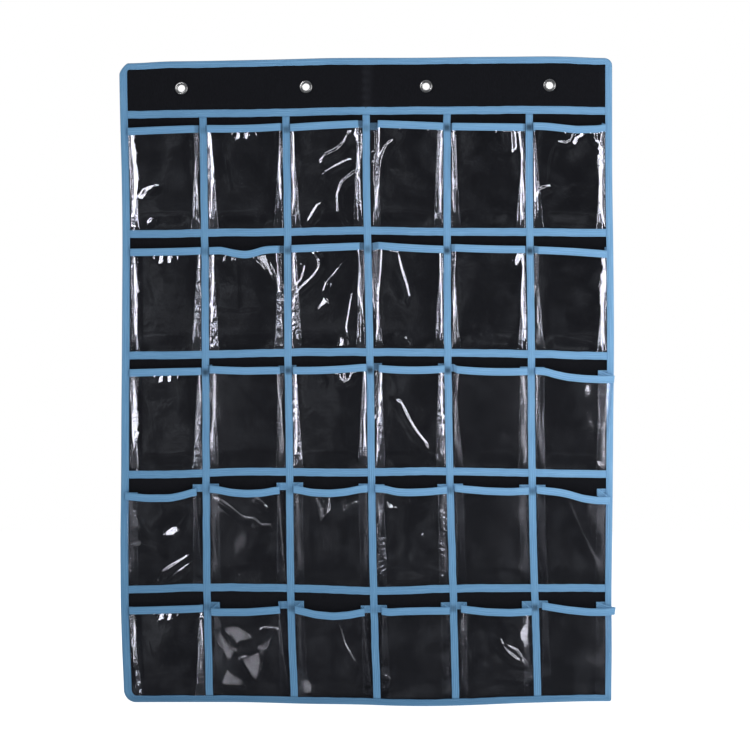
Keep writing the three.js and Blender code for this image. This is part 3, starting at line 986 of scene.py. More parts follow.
# --------------------------------------------------------------------------- grommets
def lathe(profile, x, z, seg=64):
    """Closed profile of (radius, depth) turned about an axis along Y."""
    prof = np.array(profile, float)
    a = np.arange(seg) / seg * 2 * np.pi
    dd = float(wave(*ruled_of(x, z)))
    X = x + prof[None, :, 0] * np.cos(a)[:, None]
    Z = z + prof[None, :, 0] * np.sin(a)[:, None]
    Y = np.broadcast_to(Y0 - (prof[None, :, 1] + dd), X.shape)
    P = np.stack([X, Y, Z], -1)
    n = len(prof)
    q = []
    for i in range(seg):
        k = (i + 1) % seg
        for j in range(n):
            l = (j + 1) % n
            q.append((i * n + j, k * n + j, k * n + l, i * n + l))
    return P.reshape(-1, 3), q


def rounded(profile, radius, seg=4):
    """Rounds the corners of a closed profile."""
    p = np.array(profile, float)
    out = []
    n = len(p)
    for i in range(n):
        a, b, c = p[i - 1], p[i], p[(i + 1) % n]
        la, lc = np.linalg.norm(a - b), np.linalg.norm(c - b)
        r = min(radius, la * 0.45, lc * 0.45)
        s, e = b + (a - b) / la * r, b + (c - b) / lc * r
        for k in range(seg + 1):
            t = k / seg
            out.append((1 - t) ** 2 * s + 2 * t * (1 - t) * b + t * t * e)
    return np.array(out)


HOLE_R = 4.75
for i, (wx, wz) in enumerate(HANG_AT):
    f = 2.2
    dome = [(HOLE_R, -1.15), (HOLE_R - 0.02, f + 0.6)]
    for a in np.linspace(100, -20, 13):  # the flange's rounded crown
        aa = math.radians(a)
        dome.append((6.55 + 1.75 * math.cos(aa), f + 0.35 + 1.25 * math.sin(aa)))
    dome += [(7.9, f + 0.02), (6.0, f + 0.25), (5.25, f + 0.25), (5.25, -0.82), (6.75, -0.86), (6.7, -1.3), (5.7, -1.5)]
    P, q = lathe(rounded(dome, 0.35, 3), wx, wz)
    b = Build()
    b.add(P, [f_[::-1] for f_ in q])
    o = b.object(f"nickel_grommet_{i + 1}", [METAL])
    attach(o, "backing")
    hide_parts(f"grommet_{i + 1}")
    ring = [(5.6, -0.70), (5.6, -0.14), (8.3, -0.14), (8.25, -0.45), (7.7, -0.75), (6.9, -0.8)]
    P, q = lathe(rounded(ring, 0.2, 3), wx, wz)
    b = Build()
    b.add(P, q)
    o = b.object(f"nickel_washer_{i + 1}", [METAL])
    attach(o, "backing")
    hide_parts(f"grommet_washer_{i + 1}")


# ---------------------------------------------------------------------------- pockets
# For each pocket: places (x, z) along the mouth's top edge, how far the front fold
# stands in from the tape on the left and right at the mouth, the height of the back
# plies where they go under the tapes, and how crinkled each side's pleat is.
# dark sets how deep the painted shade on the mouth tape's plies inside the pleats is
def pk(pts, off=(0.4, 0.4), tab=(None, None), crinkle=(0.3, 0.3), stand=8.2, slack=0.4, inner=(2.6, 2.6), dark=0.75):
    return dict(pts=pts, off=off, tab=tab, crinkle=crinkle, stand=stand, slack=slack, inner=inner, dark=dark)


# how dull with handling some of the films have become, 0 to 1
DULL = {
    (3, 2): 0.55, (3, 5): 0.75, (3, 6): 0.6, (4, 1): 0.26, (4, 2): 0.6, (4, 3): 0.75, (4, 4): 0.3,
    (4, 5): 0.85, (4, 6): 0.85, (5, 2): 0.7, (5, 3): 0.8, (5, 4): 0.85, (5, 5): 0.35, (5, 6): 0.9,
}
FLAT = (11.5, 11.5)  # pleats whose inner fold stays put up to the mouth
POCKETS = {
    (1, 1): pk([(-294.8, 746.0), (-262.3, 747.3), (-229.8, 748.6)], (0.6, 7.0), crinkle=(0.6, 0.8), inner=(6.0, 2.4)),
    (1, 2): pk([(-190.9, 748.8), (-158.4, 749.2), (-126.0, 750.8)], (0.6, 3.2), crinkle=(0.6, 0.5), inner=(5.5, 2.4)),
    (1, 3): pk([(-84.4, 751.6), (-50.6, 753.6), (-19.5, 755.1)], (0.4, 5.8), crinkle=(0.3, 0.4), inner=(4.0, 6.5)),
    (1, 4): pk([(22.1, 755.1), (55.8, 753.8), (89.6, 752.5)], (11.0, 0.4), (752.8, None), (0.4, 0.7), inner=(11.5, 7.0)),
    (1, 5): pk([(128.6, 751.6), (159.7, 751.2), (188.3, 751.0)], (1.5, 3.7), crinkle=(0.25, 0.2), inner=(5.5, 1.8)),
    (1, 6): pk([(221.0, 752.4), (235.0, 751.6), (270.1, 747.6), (300.0, 748.6), (307.0, 750.5)], (0.4, 0.4), (750.5, 752.0), (0.3, 0.2), inner=(2.0, 3.5)),
    (2, 1): pk([(-294.8, 588.9), (-262.3, 589.4), (-229.8, 590.4)], (0.8, 0.6), crinkle=(0.5, 0.7), inner=(5.5, 4.5)),
    (2, 2): pk([(-204.3, 590.8), (-189.4, 591.4), (-172.9, 587.5), (-158.4, 585.6), (-148.0, 587.5), (-135.6, 591.6), (-123.2, 592.8)], (0.6, 7.0), crinkle=(1.5, 1.5), inner=(6.5, 6.0)),
    (2, 3): pk([(-84.4, 594.1), (-50.6, 595.4), (-19.5, 596.7)], (0.6, 6.5), crinkle=(1.6, 0.4), inner=(7.0, 6.0)),
    (2, 4): pk([(20.4, 597.2), (54.9, 594.6), (101.1, 592.7)], (9.0, 0.4), (596.6, None), (0.25, 0.3), inner=(2.2, 3.0)),
    (2, 5): pk([(128.6, 594.1), (159.7, 593.0), (188.3, 592.6)], (5.0, 2.0), crinkle=(0.3, 0.25), inner=(0.8, 2.2)),
    (2, 6): pk([(226.0, 591.6), (270.2, 589.4), (305.7, 586.8)], (6.0, 0.4), (592.6, 591.2), (0.2, 0.3), inner=(1.2, 1.8)),
    (3, 1): pk([(-294.8, 433.0), (-262.3, 433.9), (-229.8, 434.6)], (0.8, 0.6), crinkle=(0.5, 0.7), inner=(5.5, 4.5)),
    (3, 2): pk([(-198.0, 436.9), (-190.9, 436.4), (-158.4, 435.3), (-126.0, 436.0)], (1.0, 6.0), (438.6, 437.4), (0.1, 0.1), inner=(3.5, 7.0), dark=0.7),
    (3, 3): pk([(-84.4, 435.8), (-50.6, 436.6), (-19.5, 438.6)], (1.5, 0.4), (438.2, 439.0), (1.0, 0.4), inner=(5.0, 4.0), dark=0.6),
    (3, 4): pk([(18.3, 438.1), (52.7, 436.3), (92.5, 437.4)], (7.5, 0.4), (440.7, 440.4), (1.0, 0.8), inner=(10.0, 8.0), dark=0.7),
    (3, 5): pk([(120.5, 436.6), (158.2, 434.4), (197.0, 434.4)], (5.5, 0.4), (439.4, 436.2), (0.1, 0.1), inner=(3.0, 9.0), dark=0.2),
    (3, 6): pk([(214.0, 435.6), (221.7, 435.3), (231.4, 434.4), (242.2, 431.0), (259.4, 427.3), (280.9, 425.2), (311.1, 424.1), (318.6, 424.7)], (0.4, -9.0), (435.6, 431.4), (0.15, 0.2), inner=FLAT, dark=0.2),
    (4, 1): pk([(-314.0, 273.2), (-310.6, 272.9), (-286.7, 270.6), (-255.7, 270.8), (-241.2, 273.7), (-225.7, 278.3)], (-3.5, 7.6), (273.0, 283.4), (0.15, 0.1), 9.4, 1.0, FLAT, 0.1),
    (4, 2): pk([(-206.0, 282.5), (-193.6, 281.4), (-177.0, 277.9), (-156.3, 276.4), (-135.6, 277.4), (-119.1, 280.6)], (0.4, 8.6), (284.3, 285.6), (0.1, 0.3), 9.2, 1.0, FLAT, 0.1),
    (4, 3): pk([(-100.0, 282.6), (-88.0, 281.2), (-73.5, 278.0), (-48.7, 276.8), (-28.0, 278.7), (-8.4, 282.7)], (0.4, 1.0), (286.0, 284.4), (0.2, 0.15), 9.2, 0.8, FLAT, 0.1),
    (4, 4): pk([(8.0, 283.1), (22.6, 282.4), (30.5, 280.4), (38.0, 278.6), (54.9, 278.0), (80.7, 279.1), (98.0, 281.0)], (0.4, 0.4), (283.6, 283.8), (0.9, 0.6), 9.0, 0.7, FLAT, 0.1),
    (4, 5): pk([(112.0, 284.0), (123.7, 282.4), (153.9, 279.9), (184.0, 278.8), (200.2, 279.7)], (1.0, 0.4), (284.4, 283.0), (0.1, 0.1), 9.0, 0.6, FLAT, 0.1),
    (4, 6): pk([(219.0, 281.6), (229.2, 280.1), (245.0, 278.6), (259.4, 276.0), (278.8, 270.2), (296.0, 267.7), (313.2, 267.3)], (0.8, -4.5), (282.8, 277.8), (0.1, 0.1), 9.4, 1.1, FLAT, 0.1),
    (5, 1): pk([(-309.5, 124.7), (-261.9, 126.0), (-216.4, 127.4)], (0.8, 0.6), crinkle=(0.5, 0.7), inner=(5.5, 4.5)),
    (5, 2): pk([(-204.0, 123.4), (-197.7, 122.8), (-156.3, 123.0), (-112.8, 126.0)], (0.4, 10.0), (130.8, 131.8), (0.1, 0.1), 9.2, 1.3, FLAT, 0.25),
    (5, 3): pk([(-100.0, 127.4), (-88.0, 124.9), (-67.3, 119.9), (-44.5, 117.8), (-23.8, 119.5), (-8.4, 122.6)], (0.4, 8.0), (132.3, 126.4), (0.15, 0.1), 9.4, 1.0, FLAT, 0.15),
    (5, 4): pk([(10.0, 125.6), (20.4, 124.4), (26.8, 122.9), (44.1, 124.1), (76.4, 124.9), (110.8, 124.7)], (6.0, 0.4), (127.0, 130.5), (0.12, 0.1), 9.0, 0.7, FLAT, 0.15),
    (5, 5): pk([(118.0, 128.0), (125.9, 126.6), (153.9, 123.4), (184.0, 122.3), (212.0, 123.6)], (5.5, 0.4), (130.9, 131.9), (0.1, 0.1), 9.2, 1.0, FLAT, 0.15),
    (5, 6): pk([(226.0, 131.2), (235.7, 129.6), (259.4, 125.9), (287.4, 123.1), (308.9, 123.0), (320.8, 124.6)], (5.0, -12.6), (132.6, 131.0), (0.1, 0.1), 9.2, 0.8, FLAT, 0.15),
}

# Creases and dents pressed into single films, as they came out of their folded pack:
# places (x, z) along each, its half width and its height, all in mm.
RIDGES = {
    (1, 1): [
        ([(-286.3, 662.9), (-281.1, 665.3), (-275.5, 668.1)], 3.5, 0.9),
        ([(-307.5, 626.8), (-295.9, 619.4), (-287.5, 618.2), (-279.1, 626.1)], 2, 0.45),
    ],
    (1, 2): [
        ([(-143.4, 740.7), (-142.7, 735.4)], 1.3, 0.45),
        ([(-174.7, 740.2), (-173.9, 737.3)], 1.2, 0.4),
        ([(-185.5, 706.6), (-178.3, 668.1)], 3, 0.22),
    ],
    (1, 3): [
        ([(-58.2, 704.2), (-52.2, 710.2), (-39.0, 716.2), (-29.4, 725.8), (-24.1, 737.3)], 2.4, 0.55),
        ([(-54.6, 686.9), (-42.6, 694.1), (-24.6, 703.0)], 2.2, 0.45),
        ([(-16.2, 686.9), (-31.3, 675.3), (-37.5, 659.7), (-36.6, 639.3), (-22.2, 618.2)], 2.6, 0.62),
        ([(-79.1, 617.2), (-71.4, 632.1), (-63.5, 644.6)], 2.6, 0.62),
    ],
    (1, 4): [
        ([(14.7, 678.1), (18.2, 705.0), (23.4, 718.4), (28.1, 725.3)], 2.2, 0.55),
        ([(28.1, 725.3), (29.6, 721.5), (34.2, 721.1)], 1.3, 0.45),
        ([(26.5, 742.2), (25.0, 727.8), (28.1, 725.3)], 2, 0.3),
        ([(50.3, 742.2), (48.2, 730.9), (42.0, 723.6), (34.2, 721.1)], 2, 0.3),
        ([(42.0, 744.3), (42.4, 742.2)], 1.4, 0.4),
        ([(78.2, 743.1), (78.7, 740.6)], 1.4, 0.4),
    ],
    (1, 5): [
        ([(184.9, 739.1), (186.5, 721.5)], 4, 0.9),
        ([(124.8, 698.8), (143.5, 696.7), (168.3, 702.9)], 3, 0.22),
        ([(165.2, 742.2), (165.6, 740.2)], 1.4, 0.4),
    ],
    (1, 6): [
        ([(272.9, 738.1), (266.6, 733.6), (264.0, 727.8), (257.7, 724.7), (249.5, 725.7)], 2, 0.5),
        ([(249.5, 725.7), (241.8, 717.4), (237.7, 702.9), (235.6, 684.3), (234.1, 667.7)], 2.5, 0.3),
        ([(223.2, 661.5), (226.3, 665.6), (235.6, 668.8)], 2.5, 0.6),
        ([(292.5, 739.0), (294.5, 729.5), (299.5, 727.0)], 2.2, 0.6),
        ([(303.0, 739.0), (301.0, 730.0)], 2.2, 0.6),
        ([(254.2, 740.6), (254.8, 738.1)], 1.4, 0.4),
        ([(220.1, 643.9), (242.8, 659.4), (265.6, 669.8)], 2.5, 0.2),
    ],
    (2, 1): [
        ([(-244.9, 579.4), (-244.5, 575.0)], 1.3, 0.45),
        ([(-275.4, 579.4), (-274.9, 577.1)], 1.2, 0.4),
        ([(-285.7, 545.2), (-280.1, 520.4)], 3, 0.22),
    ],
    (2, 2): [
        ([(-182.2, 580.4), (-184.9, 574.2)], 1.6, 0.5),
        ([(-173.9, 575.2), (-170.8, 573.2)], 1.3, 0.45),
        ([(-166.3, 577.9), (-162.5, 578.8)], 1.3, 0.45),
        ([(-189.4, 504.8), (-162.5, 503.8), (-133.5, 506.9)], 6, 0.6),
        ([(-169.8, 563.9), (-168.7, 514.2)], 4, 0.35),
    ],
    (2, 3): [
        ([(-68.9, 585.0), (-61.9, 576.3), (-60.7, 565.9), (-68.3, 553.5), (-81.4, 541.1), (-90.1, 533.2)], 2.2, 0.58),
        ([(-84.9, 569.0), (-80.1, 569.0), (-80.8, 561.8), (-84.9, 549.4), (-92.1, 539.0)], 1.8, 0.5),
        ([(-33.8, 567.6), (-43.5, 554.5), (-52.4, 545.6), (-56.5, 533.8)], 1.9, 0.52),
        ([(-44.5, 549.4), (-48.2, 535.9)], 1.3, 0.45),
        ([(-13.1, 547.3), (-19.3, 524.5), (-25.5, 489.3), (-23.8, 472.8), (-22.2, 459.9)], 2.2, 0.52),
    ],
    (2, 4): [
        ([(36.6, 581.2), (40.9, 561.9), (46.7, 544.6), (50.5, 529.6)], 4.5, 1.05),
        ([(46.7, 473.6), (52.7, 466.1)], 2.5, 0.62),
    ],
    (2, 5): [
        ([(190.1, 579.1), (188.8, 570.5)], 2, 0.5),
        ([(141.0, 493.0), (145.3, 484.4)], 4, 0.3),
    ],
    (2, 6): [
        ([(261.5, 473.6), (283.1, 469.3), (304.6, 465.0)], 3, 0.25),
    ],
    (3, 1): [
        ([(-244.9, 426.0), (-244.5, 421.4)], 1.3, 0.45),
        ([(-275.4, 425.6), (-274.9, 423.5)], 1.2, 0.4),
        ([(-285.7, 389.9), (-280.1, 365.1)], 3, 0.22),
    ],
    (3, 2): [
        ([(-177.0, 416.9), (-148.0, 385.8), (-127.3, 358.9)], 4, 0.2),
    ],
    (3, 3): [
        ([(-37.9, 426.2), (-36.2, 418.9), (-29.0, 415.8), (-22.2, 418.9), (-19.7, 426.2)], 2, 0.52),
        ([(-30.4, 426.2), (-30.0, 416.9)], 1.6, 0.45),
        ([(-55.9, 421.0), (-53.8, 414.8)], 3, 0.35),
        ([(-36.2, 398.2), (-34.2, 375.5)], 6, 0.45),
    ],
    (3, 4): [
        ([(41.5, 388.5), (52.7, 365.9), (63.5, 348.7), (74.2, 336.2)], 3.4, 0.9),
        ([(31.2, 424.1), (36.6, 406.8)], 3, 0.3),
    ],
    (3, 5): [
        ([(158.2, 342.3), (175.4, 344.4), (184.0, 335.8)], 5, 0.35),
    ],
    (3, 6): [
        ([(279.8, 407.9), (279.2, 402.5)], 2.5, 0.5),
        ([(300.3, 354.1), (307.8, 355.6)], 2.2, 0.5),
        ([(297.1, 308.9), (303.5, 304.6)], 2.5, 0.5),
        ([(280.9, 372.4), (285.2, 355.2)], 8, 0.6),
        ([(242.2, 346.6), (261.5, 350.9)], 5, 0.35),
    ],
    (4, 1): [
        ([(-294.0, 233.6), (-280.5, 219.1), (-264.0, 214.9), (-245.3, 223.2), (-232.9, 241.9)], 5, 0.55),
        ([(-291.9, 206.3), (-275.4, 205.0)], 4, 0.55),
        ([(-271.2, 155.9), (-264.0, 169.4), (-247.4, 179.8), (-232.9, 189.1)], 2.4, 0.5),
        ([(-256.7, 159.0), (-245.3, 169.4), (-230.8, 179.8)], 2, 0.45),
        ([(-230.8, 189.1), (-221.5, 173.5), (-218.4, 163.2)], 3, 0.4),
        ([(-225.7, 153.9), (-220.9, 158.6), (-214.7, 160.7)], 1.8, 0.5),
        ([(-270.2, 259.5), (-265.0, 250.1)], 2.5, 0.3),
    ],
    (4, 2): [
        ([(-191.5, 262.6), (-177.0, 252.2), (-162.5, 239.8), (-148.0, 237.7), (-137.7, 229.4), (-127.3, 229.4)], 2.4, 0.42),
        ([(-142.9, 263.6), (-133.5, 255.3)], 2.2, 0.4),
        ([(-177.0, 177.7), (-148.0, 179.8), (-126.3, 179.8)], 2.4, 0.36),
        ([(-164.6, 165.3), (-143.9, 168.4)], 2, 0.35),
        ([(-114.9, 153.9), (-110.8, 159.0), (-106.6, 161.1)], 1.6, 0.5),
        ([(-114.5, 197.1), (-109.1, 198.8)], 1.6, 0.5),
        ([(-114.5, 171.1), (-109.1, 172.7)], 1.6, 0.5),
        ([(-130.4, 207.7), (-129.4, 201.5)], 3, 0.35),
    ],
    (4, 3): [
        ([(-61.1, 264.6), (-54.9, 254.3), (-55.9, 242.9)], 2, 0.4),
        ([(-47.6, 264.6), (-46.6, 252.2), (-55.9, 242.3)], 2, 0.42),
        ([(-30.0, 262.6), (-29.0, 250.1), (-15.5, 260.5)], 1.8, 0.4),
        ([(-79.7, 256.4), (-77.6, 181.8)], 8, 0.75),
        ([(-46.6, 169.4), (-30.0, 186.0)], 7, 0.65),
    ],
    (4, 4): [
        ([(52.7, 263.6), (53.6, 261.9)], 1.6, 0.4),
        ([(68.8, 219.0), (70.4, 216.9)], 1.6, 0.4),
        ([(29.0, 233.0), (61.3, 205.0), (91.5, 177.0)], 10, 0.9),
        ([(40.9, 181.3), (36.6, 162.0)], 3, 0.25),
    ],
    (4, 5): [
        ([(128.1, 170.6), (158.2, 181.3), (190.5, 172.7)], 8, 0.7),
        ([(132.4, 258.8), (158.2, 259.9)], 4, 0.3),
    ],
    (4, 6): [
        ([(258.3, 261.0), (276.6, 220.1), (298.1, 177.0)], 4, 0.55),
        ([(233.6, 170.6), (244.3, 185.6)], 3, 0.32),
        ([(268.0, 172.7), (248.6, 179.2)], 3, 0.3),
        ([(285.2, 258.8), (283.5, 250.2)], 3, 0.3),
    ],
    (5, 1): [
        ([(-244.9, 117.6), (-244.5, 113.1)], 1.3, 0.45),
        ([(-275.4, 117.0), (-274.9, 115.0)], 1.2, 0.4),
        ([(-285.7, 82.4), (-280.1, 57.6)], 3, 0.22),
    ],
    (5, 2): [
        ([(-135.6, 96.9), (-121.1, 96.9)], 2, 0.4),
        ([(-140.8, 26.5), (-148.0, 12.1)], 2, 0.4),
        ([(-147.0, 41.0), (-135.6, 12.1)], 2, 0.4),
    ],
    (5, 3): [
        ([(-38.3, 103.2), (-30.0, 76.2), (-18.6, 55.5)], 2, 0.36),
        ([(-11.4, 45.2), (-3.1, 16.2)], 2.2, 0.35),
    ],
    (5, 4): [
        ([(23.6, 34.9), (25.8, 33.8)], 2, 0.45),
        ([(102.2, 38.2), (101.8, 32.8)], 3, 0.45),
        ([(31.2, 11.2), (39.8, 13.4)], 2.5, 0.3),
    ],
    (5, 5): [
        ([(170.0, 83.4), (179.7, 67.2), (192.6, 56.5), (202.3, 53.2)], 2, 0.52),
        ([(177.6, 75.8), (192.6, 68.3), (202.3, 54.3)], 1.8, 0.5),
        ([(203.4, 69.4), (209.9, 74.8), (208.1, 68.3)], 1.6, 0.5),
        ([(141.0, 90.9), (153.9, 47.8), (184.0, 26.3)], 8, 0.6),
        ([(173.3, 110.3), (196.0, 91.0)], 3.5, 0.12),
    ],
    (5, 6): [
        ([(268.0, 103.8), (280.9, 84.4)], 7, 0.45),
        ([(248.6, 22.0), (287.4, 24.2)], 6, 0.35),
    ],
}



def _drips(x, z):
    """Two small flats side by side under a mouth, left where the film was gripped."""
    return [
        ([(x - 3.8, z), (x + 0.6, z - 0.2), (x + 3.6, z + 2.0), (x + 3.6, z + 11), (x - 1.8, z + 11)], 0.6, -1, 1.0),
        ([(x + 9.0, z), (x + 13.2, z), (x + 14.2, z + 3.5), (x + 14.2, z + 11), (x + 8.2, z + 11), (x + 8.2, z + 3.5)], 0.6, -1, 1.0),
    ]


# Flats pressed into single films, each leaning to one side: outline (x, z) in mm,
# softness of its edge, which side it leans to, and how much gloss it kept.
FACETS = {
    (1, 2): _drips(-168.0, 730.4),
    (2, 1): _drips(-267.6, 569.6),
    (3, 1): _drips(-267.6, 415.6),
    (5, 1): _drips(-267.6, 106.9),
    (2, 2): [([(-147.0, 579.6), (-130.4, 581.5), (-123.5, 562.0), (-117.5, 546.5)], 1.2, -1, 0.6)],
    (2, 3): [
        ([(-65.4, 512.3), (-60.0, 514.4), (-52.2, 518.0), (-51.6, 521.5), (-56.8, 528.0)], 0.9, -1, 1.0),
        ([(-39.4, 459.0), (-31.0, 459.0), (-30.0, 468.6), (-33.2, 475.8), (-35.6, 476.6)], 0.9, -1, 1.0),
    ],
    (4, 1): [([(-262.8, 217.6), (-251.5, 216.6), (-245.0, 222.0), (-245.4, 229.4), (-255.5, 228.6), (-263.4, 222.8)], 1.8, -1, 1.1)],
    (4, 4): [([(25.6, 264.0), (27.4, 252.2), (33.0, 252.6), (39.6, 257.4), (31.0, 259.4)], 0.9, 1, 1.1)],
    (5, 2): [
        ([(-183.2, 98.6), (-167.7, 101.2), (-151.2, 83.4), (-170.8, 76.4)], 2.2, -1, 0.24),
        ([(-196.9, 93.4), (-189.0, 91.0), (-170.4, 66.0), (-180.1, 52.0), (-186.0, 64.0)], 1.8, -1, 0.22),
        ([(-124.4, 93.8), (-142.4, 67.5), (-138.6, 53.0)], 1.2, 1, 0.26),
        ([(-164.6, 55.5), (-141.0, 67.6), (-138.0, 53.4), (-143.9, 26.0)], 2.0, 1, 0.26),
        ([(-182.4, 46.6), (-189.8, 25.2), (-160.0, 22.0)], 1.8, -1, 0.24),
    ],
    (5, 3): [([(-88.4, 41.5), (-71.0, 22.6), (-72.8, 2.6), (-83.2, 12.0)], 2.2, -1, 0.26)],
}

FILM_SET = bpy.data.collections.new("film_set")
METAL_SET = bpy.data.collections.new("metal_set")
LOW_SET = bpy.data.collections.new("low_film_set")
DULL_SET = bpy.data.collections.new("dull_film_set")
FILM_T = 0.3
NF = 90  # points across a film's front
PLY = 12  # points across each ply of a pleat


class Pocket:
    def __init__(self, r, c):
        self.r, self.c = r, c
        self.p = dict(POCKETS[(r, c)], dull=DULL.get((r, c), 0.0))
        self.name = f"r{r}_c{c}"
        self.body = f"pocket_r{r}_c{c}"
        self.z_low, self.z_top = ROW_LOW[r - 1], ROW_TOP[r - 1]
        self.left, self.right = COL_EDGES[c - 1], COL_EDGES[c]
        self.el = self.left + (EDGE_W if c == 1 else TAPE_W / 2)
        self.er = self.right - (EDGE_W if c == 6 else TAPE_W / 2)
        pts = np.array(self.p["pts"])
        a, b = pts[0] - pts[1], pts[-1] - pts[-2]
        a, b = a[1] / abs(a[0]), b[1] / abs(b[0])
        xs = np.concatenate([[pts[0, 0] - 40], pts[:, 0], [pts[-1, 0] + 40]])
        zs = np.concatenate([[pts[0, 1] + 6 * a], pts[:, 1], [pts[-1, 1] + 6 * b]])
        if len(pts) == 3:
            q = np.polyfit(pts[:, 0], pts[:, 1], 2)
            xs = np.linspace(pts[0, 0] - 14, pts[-1, 0] + 14, 24)
            zs = np.polyval(q, xs)
        self.mx = np.arange(xs[0], xs[-1], 1.0)
        self.mz = _soft(np.interp(self.mx, xs, zs)[None], 3.2)[0]
        mid = (self.left + self.right) / 2
        self.h = float(np.interp(mid, self.mx, self.mz) - hang_z(mid, self.z_low))
        self.rng_id = r * 10 + c
        # the front's lines crowd together where creases cross it
        a, b = self.el + 0.5 * (self.p["off"][0] + 0.9), self.er - 0.5 * (self.p["off"][1] + 0.9)
        g = np.linspace(0, 1, 1500)
        x = a + (b - a) * g
        w = 1.0 + 1.5 * np.exp(-np.minimum(x - a, b - x) / 4.0)
        sg = np.linspace(12.5, self.h - 0.9, 1500)
        wz = 1.0 + 0.5 * np.exp(-(self.h - 10 - sg).clip(0) / 10.0)
        zb = float(hang_z(mid, self.z_low))
        for pts_, half, height in RIDGES.get((r, c), []):
            gain = float(np.clip(3.6 / half, 0.5, 2.2))
            pts_ = np.array(pts_, float)
            for i in range(len(pts_) - 1):
                n = int(np.hypot(*(pts_[i + 1] - pts_[i])) / 1.5) + 2
                for k in np.linspace(0, 1, n):
                    px, pz = pts_[i] + k * (pts_[i + 1] - pts_[i])
                    w = np.maximum(w, 1 + gain * np.exp(-(((x - px) / (1.3 * half + 0.8)) ** 2)))
                    wz = np.maximum(wz, 1 + 0.7 * gain * np.exp(-(((sg - pz + zb) / (1.3 * half + 1.5)) ** 2)))
        for outline, soft, lean, gloss in FACETS.get((r, c), []):
            o = np.array(outline, float)
            gain = 0.9 if soft > 1 else 2.0
            for e in (o[:, 0].min(), o[:, 0].max()):
                w = np.maximum(w, 1 + gain * np.exp(-(((x - e) / (1.5 + soft)) ** 2)))
            w = np.where((x > o[:, 0].min()) & (x < o[:, 0].max()), np.maximum(w, 1 + 0.5 * gain), w)
            e = sg - o[:, 1].min() + zb
            wz = np.where((e > -2) & (sg - o[:, 1].max() + zb < 2), np.maximum(wz, 1 + 0.45 * gain), wz)
        cum = np.concatenate([[0], np.cumsum((w[1:] + w[:-1]) / 2)])
        self.front_q = np.interp(np.linspace(0, 1, NF), cum / cum[-1], g)
        cum = np.concatenate([[0], np.cumsum((wz[1:] + wz[:-1]) / 2)])
        self.row_s = np.interp(np.linspace(0, 1, 74), cum / cum[-1], sg)

    def mouth_z(self, x):
        return np.interp(x, self.mx, self.mz)

    def rows(self, top_gap):
        """Heights above the lower seam, finer at the bottom."""
        return np.concatenate([[-5.5, -3.0, -1.0, 0.5, 2.0, 4.0, 6.5, 9.5], self.row_s])

    def section(self, s):
        """Mid-surface of the film at the heights s: arrays (path, rows) of x, d, z,
        the share of the pocket's swing each point follows, and the distance along
        the path. Path: under left tape, back ply, inner fold, middle ply, outer
        fold, front, and the same in mirror order."""
        p = self.p
        t = np.clip(s / self.h, 0, 1.05)[None, :]
        zr = (self.z_low + t * (self.z_top - self.z_low))  # ruled height, for the sway
        s = s[None, :]
        xl, xr = hang_x(self.el, zr), hang_x(self.er, zr)
        cl, cr = hang_x(self.left, zr), hang_x(self.right, zr)
        if self.c == 1:
            cl = hang_x(self.left + 2.2, zr)
        if self.c == 6:
            cr = hang_x(self.right - 2.2, zr)
        k = np.clip(t, 0, 1) ** 1.1
        wig = noise_maker(500 + self.rng_id, 5, 0.03, 0.09)
        low = [0.9 if o < 9 else 2.6 for o in p["off"]]
        offl = low[0] * (1 - k) + p["off"][0] * k + 0.3 * wig(s, 3.0) * smooth(s / 20)
        offr = low[1] * (1 - k) + p["off"][1] * k + 0.3 * wig(s, 40.0) * smooth(s / 20)
        FL, FR = xl + offl, xr - offr
        inl = 12.6 * (1 - k) + p["inner"][0] * k + 0.5 * wig(s, 80.0) * smooth(s / 20)
        inr = 12.6 * (1 - k) + p["inner"][1] * k + 0.5 * wig(s, 120.0) * smooth(s / 20)
        IL, IR = xl + inl, xr - inr
        up = smooth(np.clip(s, 0, None) / 26.0)
        rise = np.clip(t, 0, 1) ** 0.85
        # how far the front lies above the back ply, beside the pleats
        D = 0.72 + (p["stand"] - 1.95) * rise + 0.85 * smooth((s - 4.0) / 20.0) * (1 - rise)
        base = 1.22
        rI = np.clip(0.12 * D, 0.17, 0.7)
        drop = np.minimum(0.32, 0.16 * D) * smooth(s / 12.0)  # a fold's loop is fuller than its plies
        rJ = rI + drop
        rE = np.clip(0.095 * D, 0.17, 0.8)
        d_in = base + 0.26 * D
        d_mid = d_in + 2 * rI
        d_out = base + D - 2 * rE
        half = np.linspace(-np.pi / 2, np.pi / 2, 7)[:, None]
        one = np.ones_like(t)

        def lin(a, b, n, skip=False):
            q = np.linspace(0, 1, n)[:, None]
            if skip:
                q = q[1:]
            return a * (1 - q) + b * q

        def side(c0, e0, I, F, sgn):
            """One side's pleat from under the tape to the start of the front."""
            m = PLY
            qq = np.linspace(0, 1, m)[1:, None]

            def step(d0, d1, length, at):
                hw = np.clip(1.7 / np.maximum(np.abs(length), 1.0), 0.14, 0.5)
                k = np.clip((qq - at) / (2 * hw) + 0.5, 0, 1)
                k = 0.86 * smooth(k) + 0.14 * qq
                return d0 * (1 - k) + d1 * k

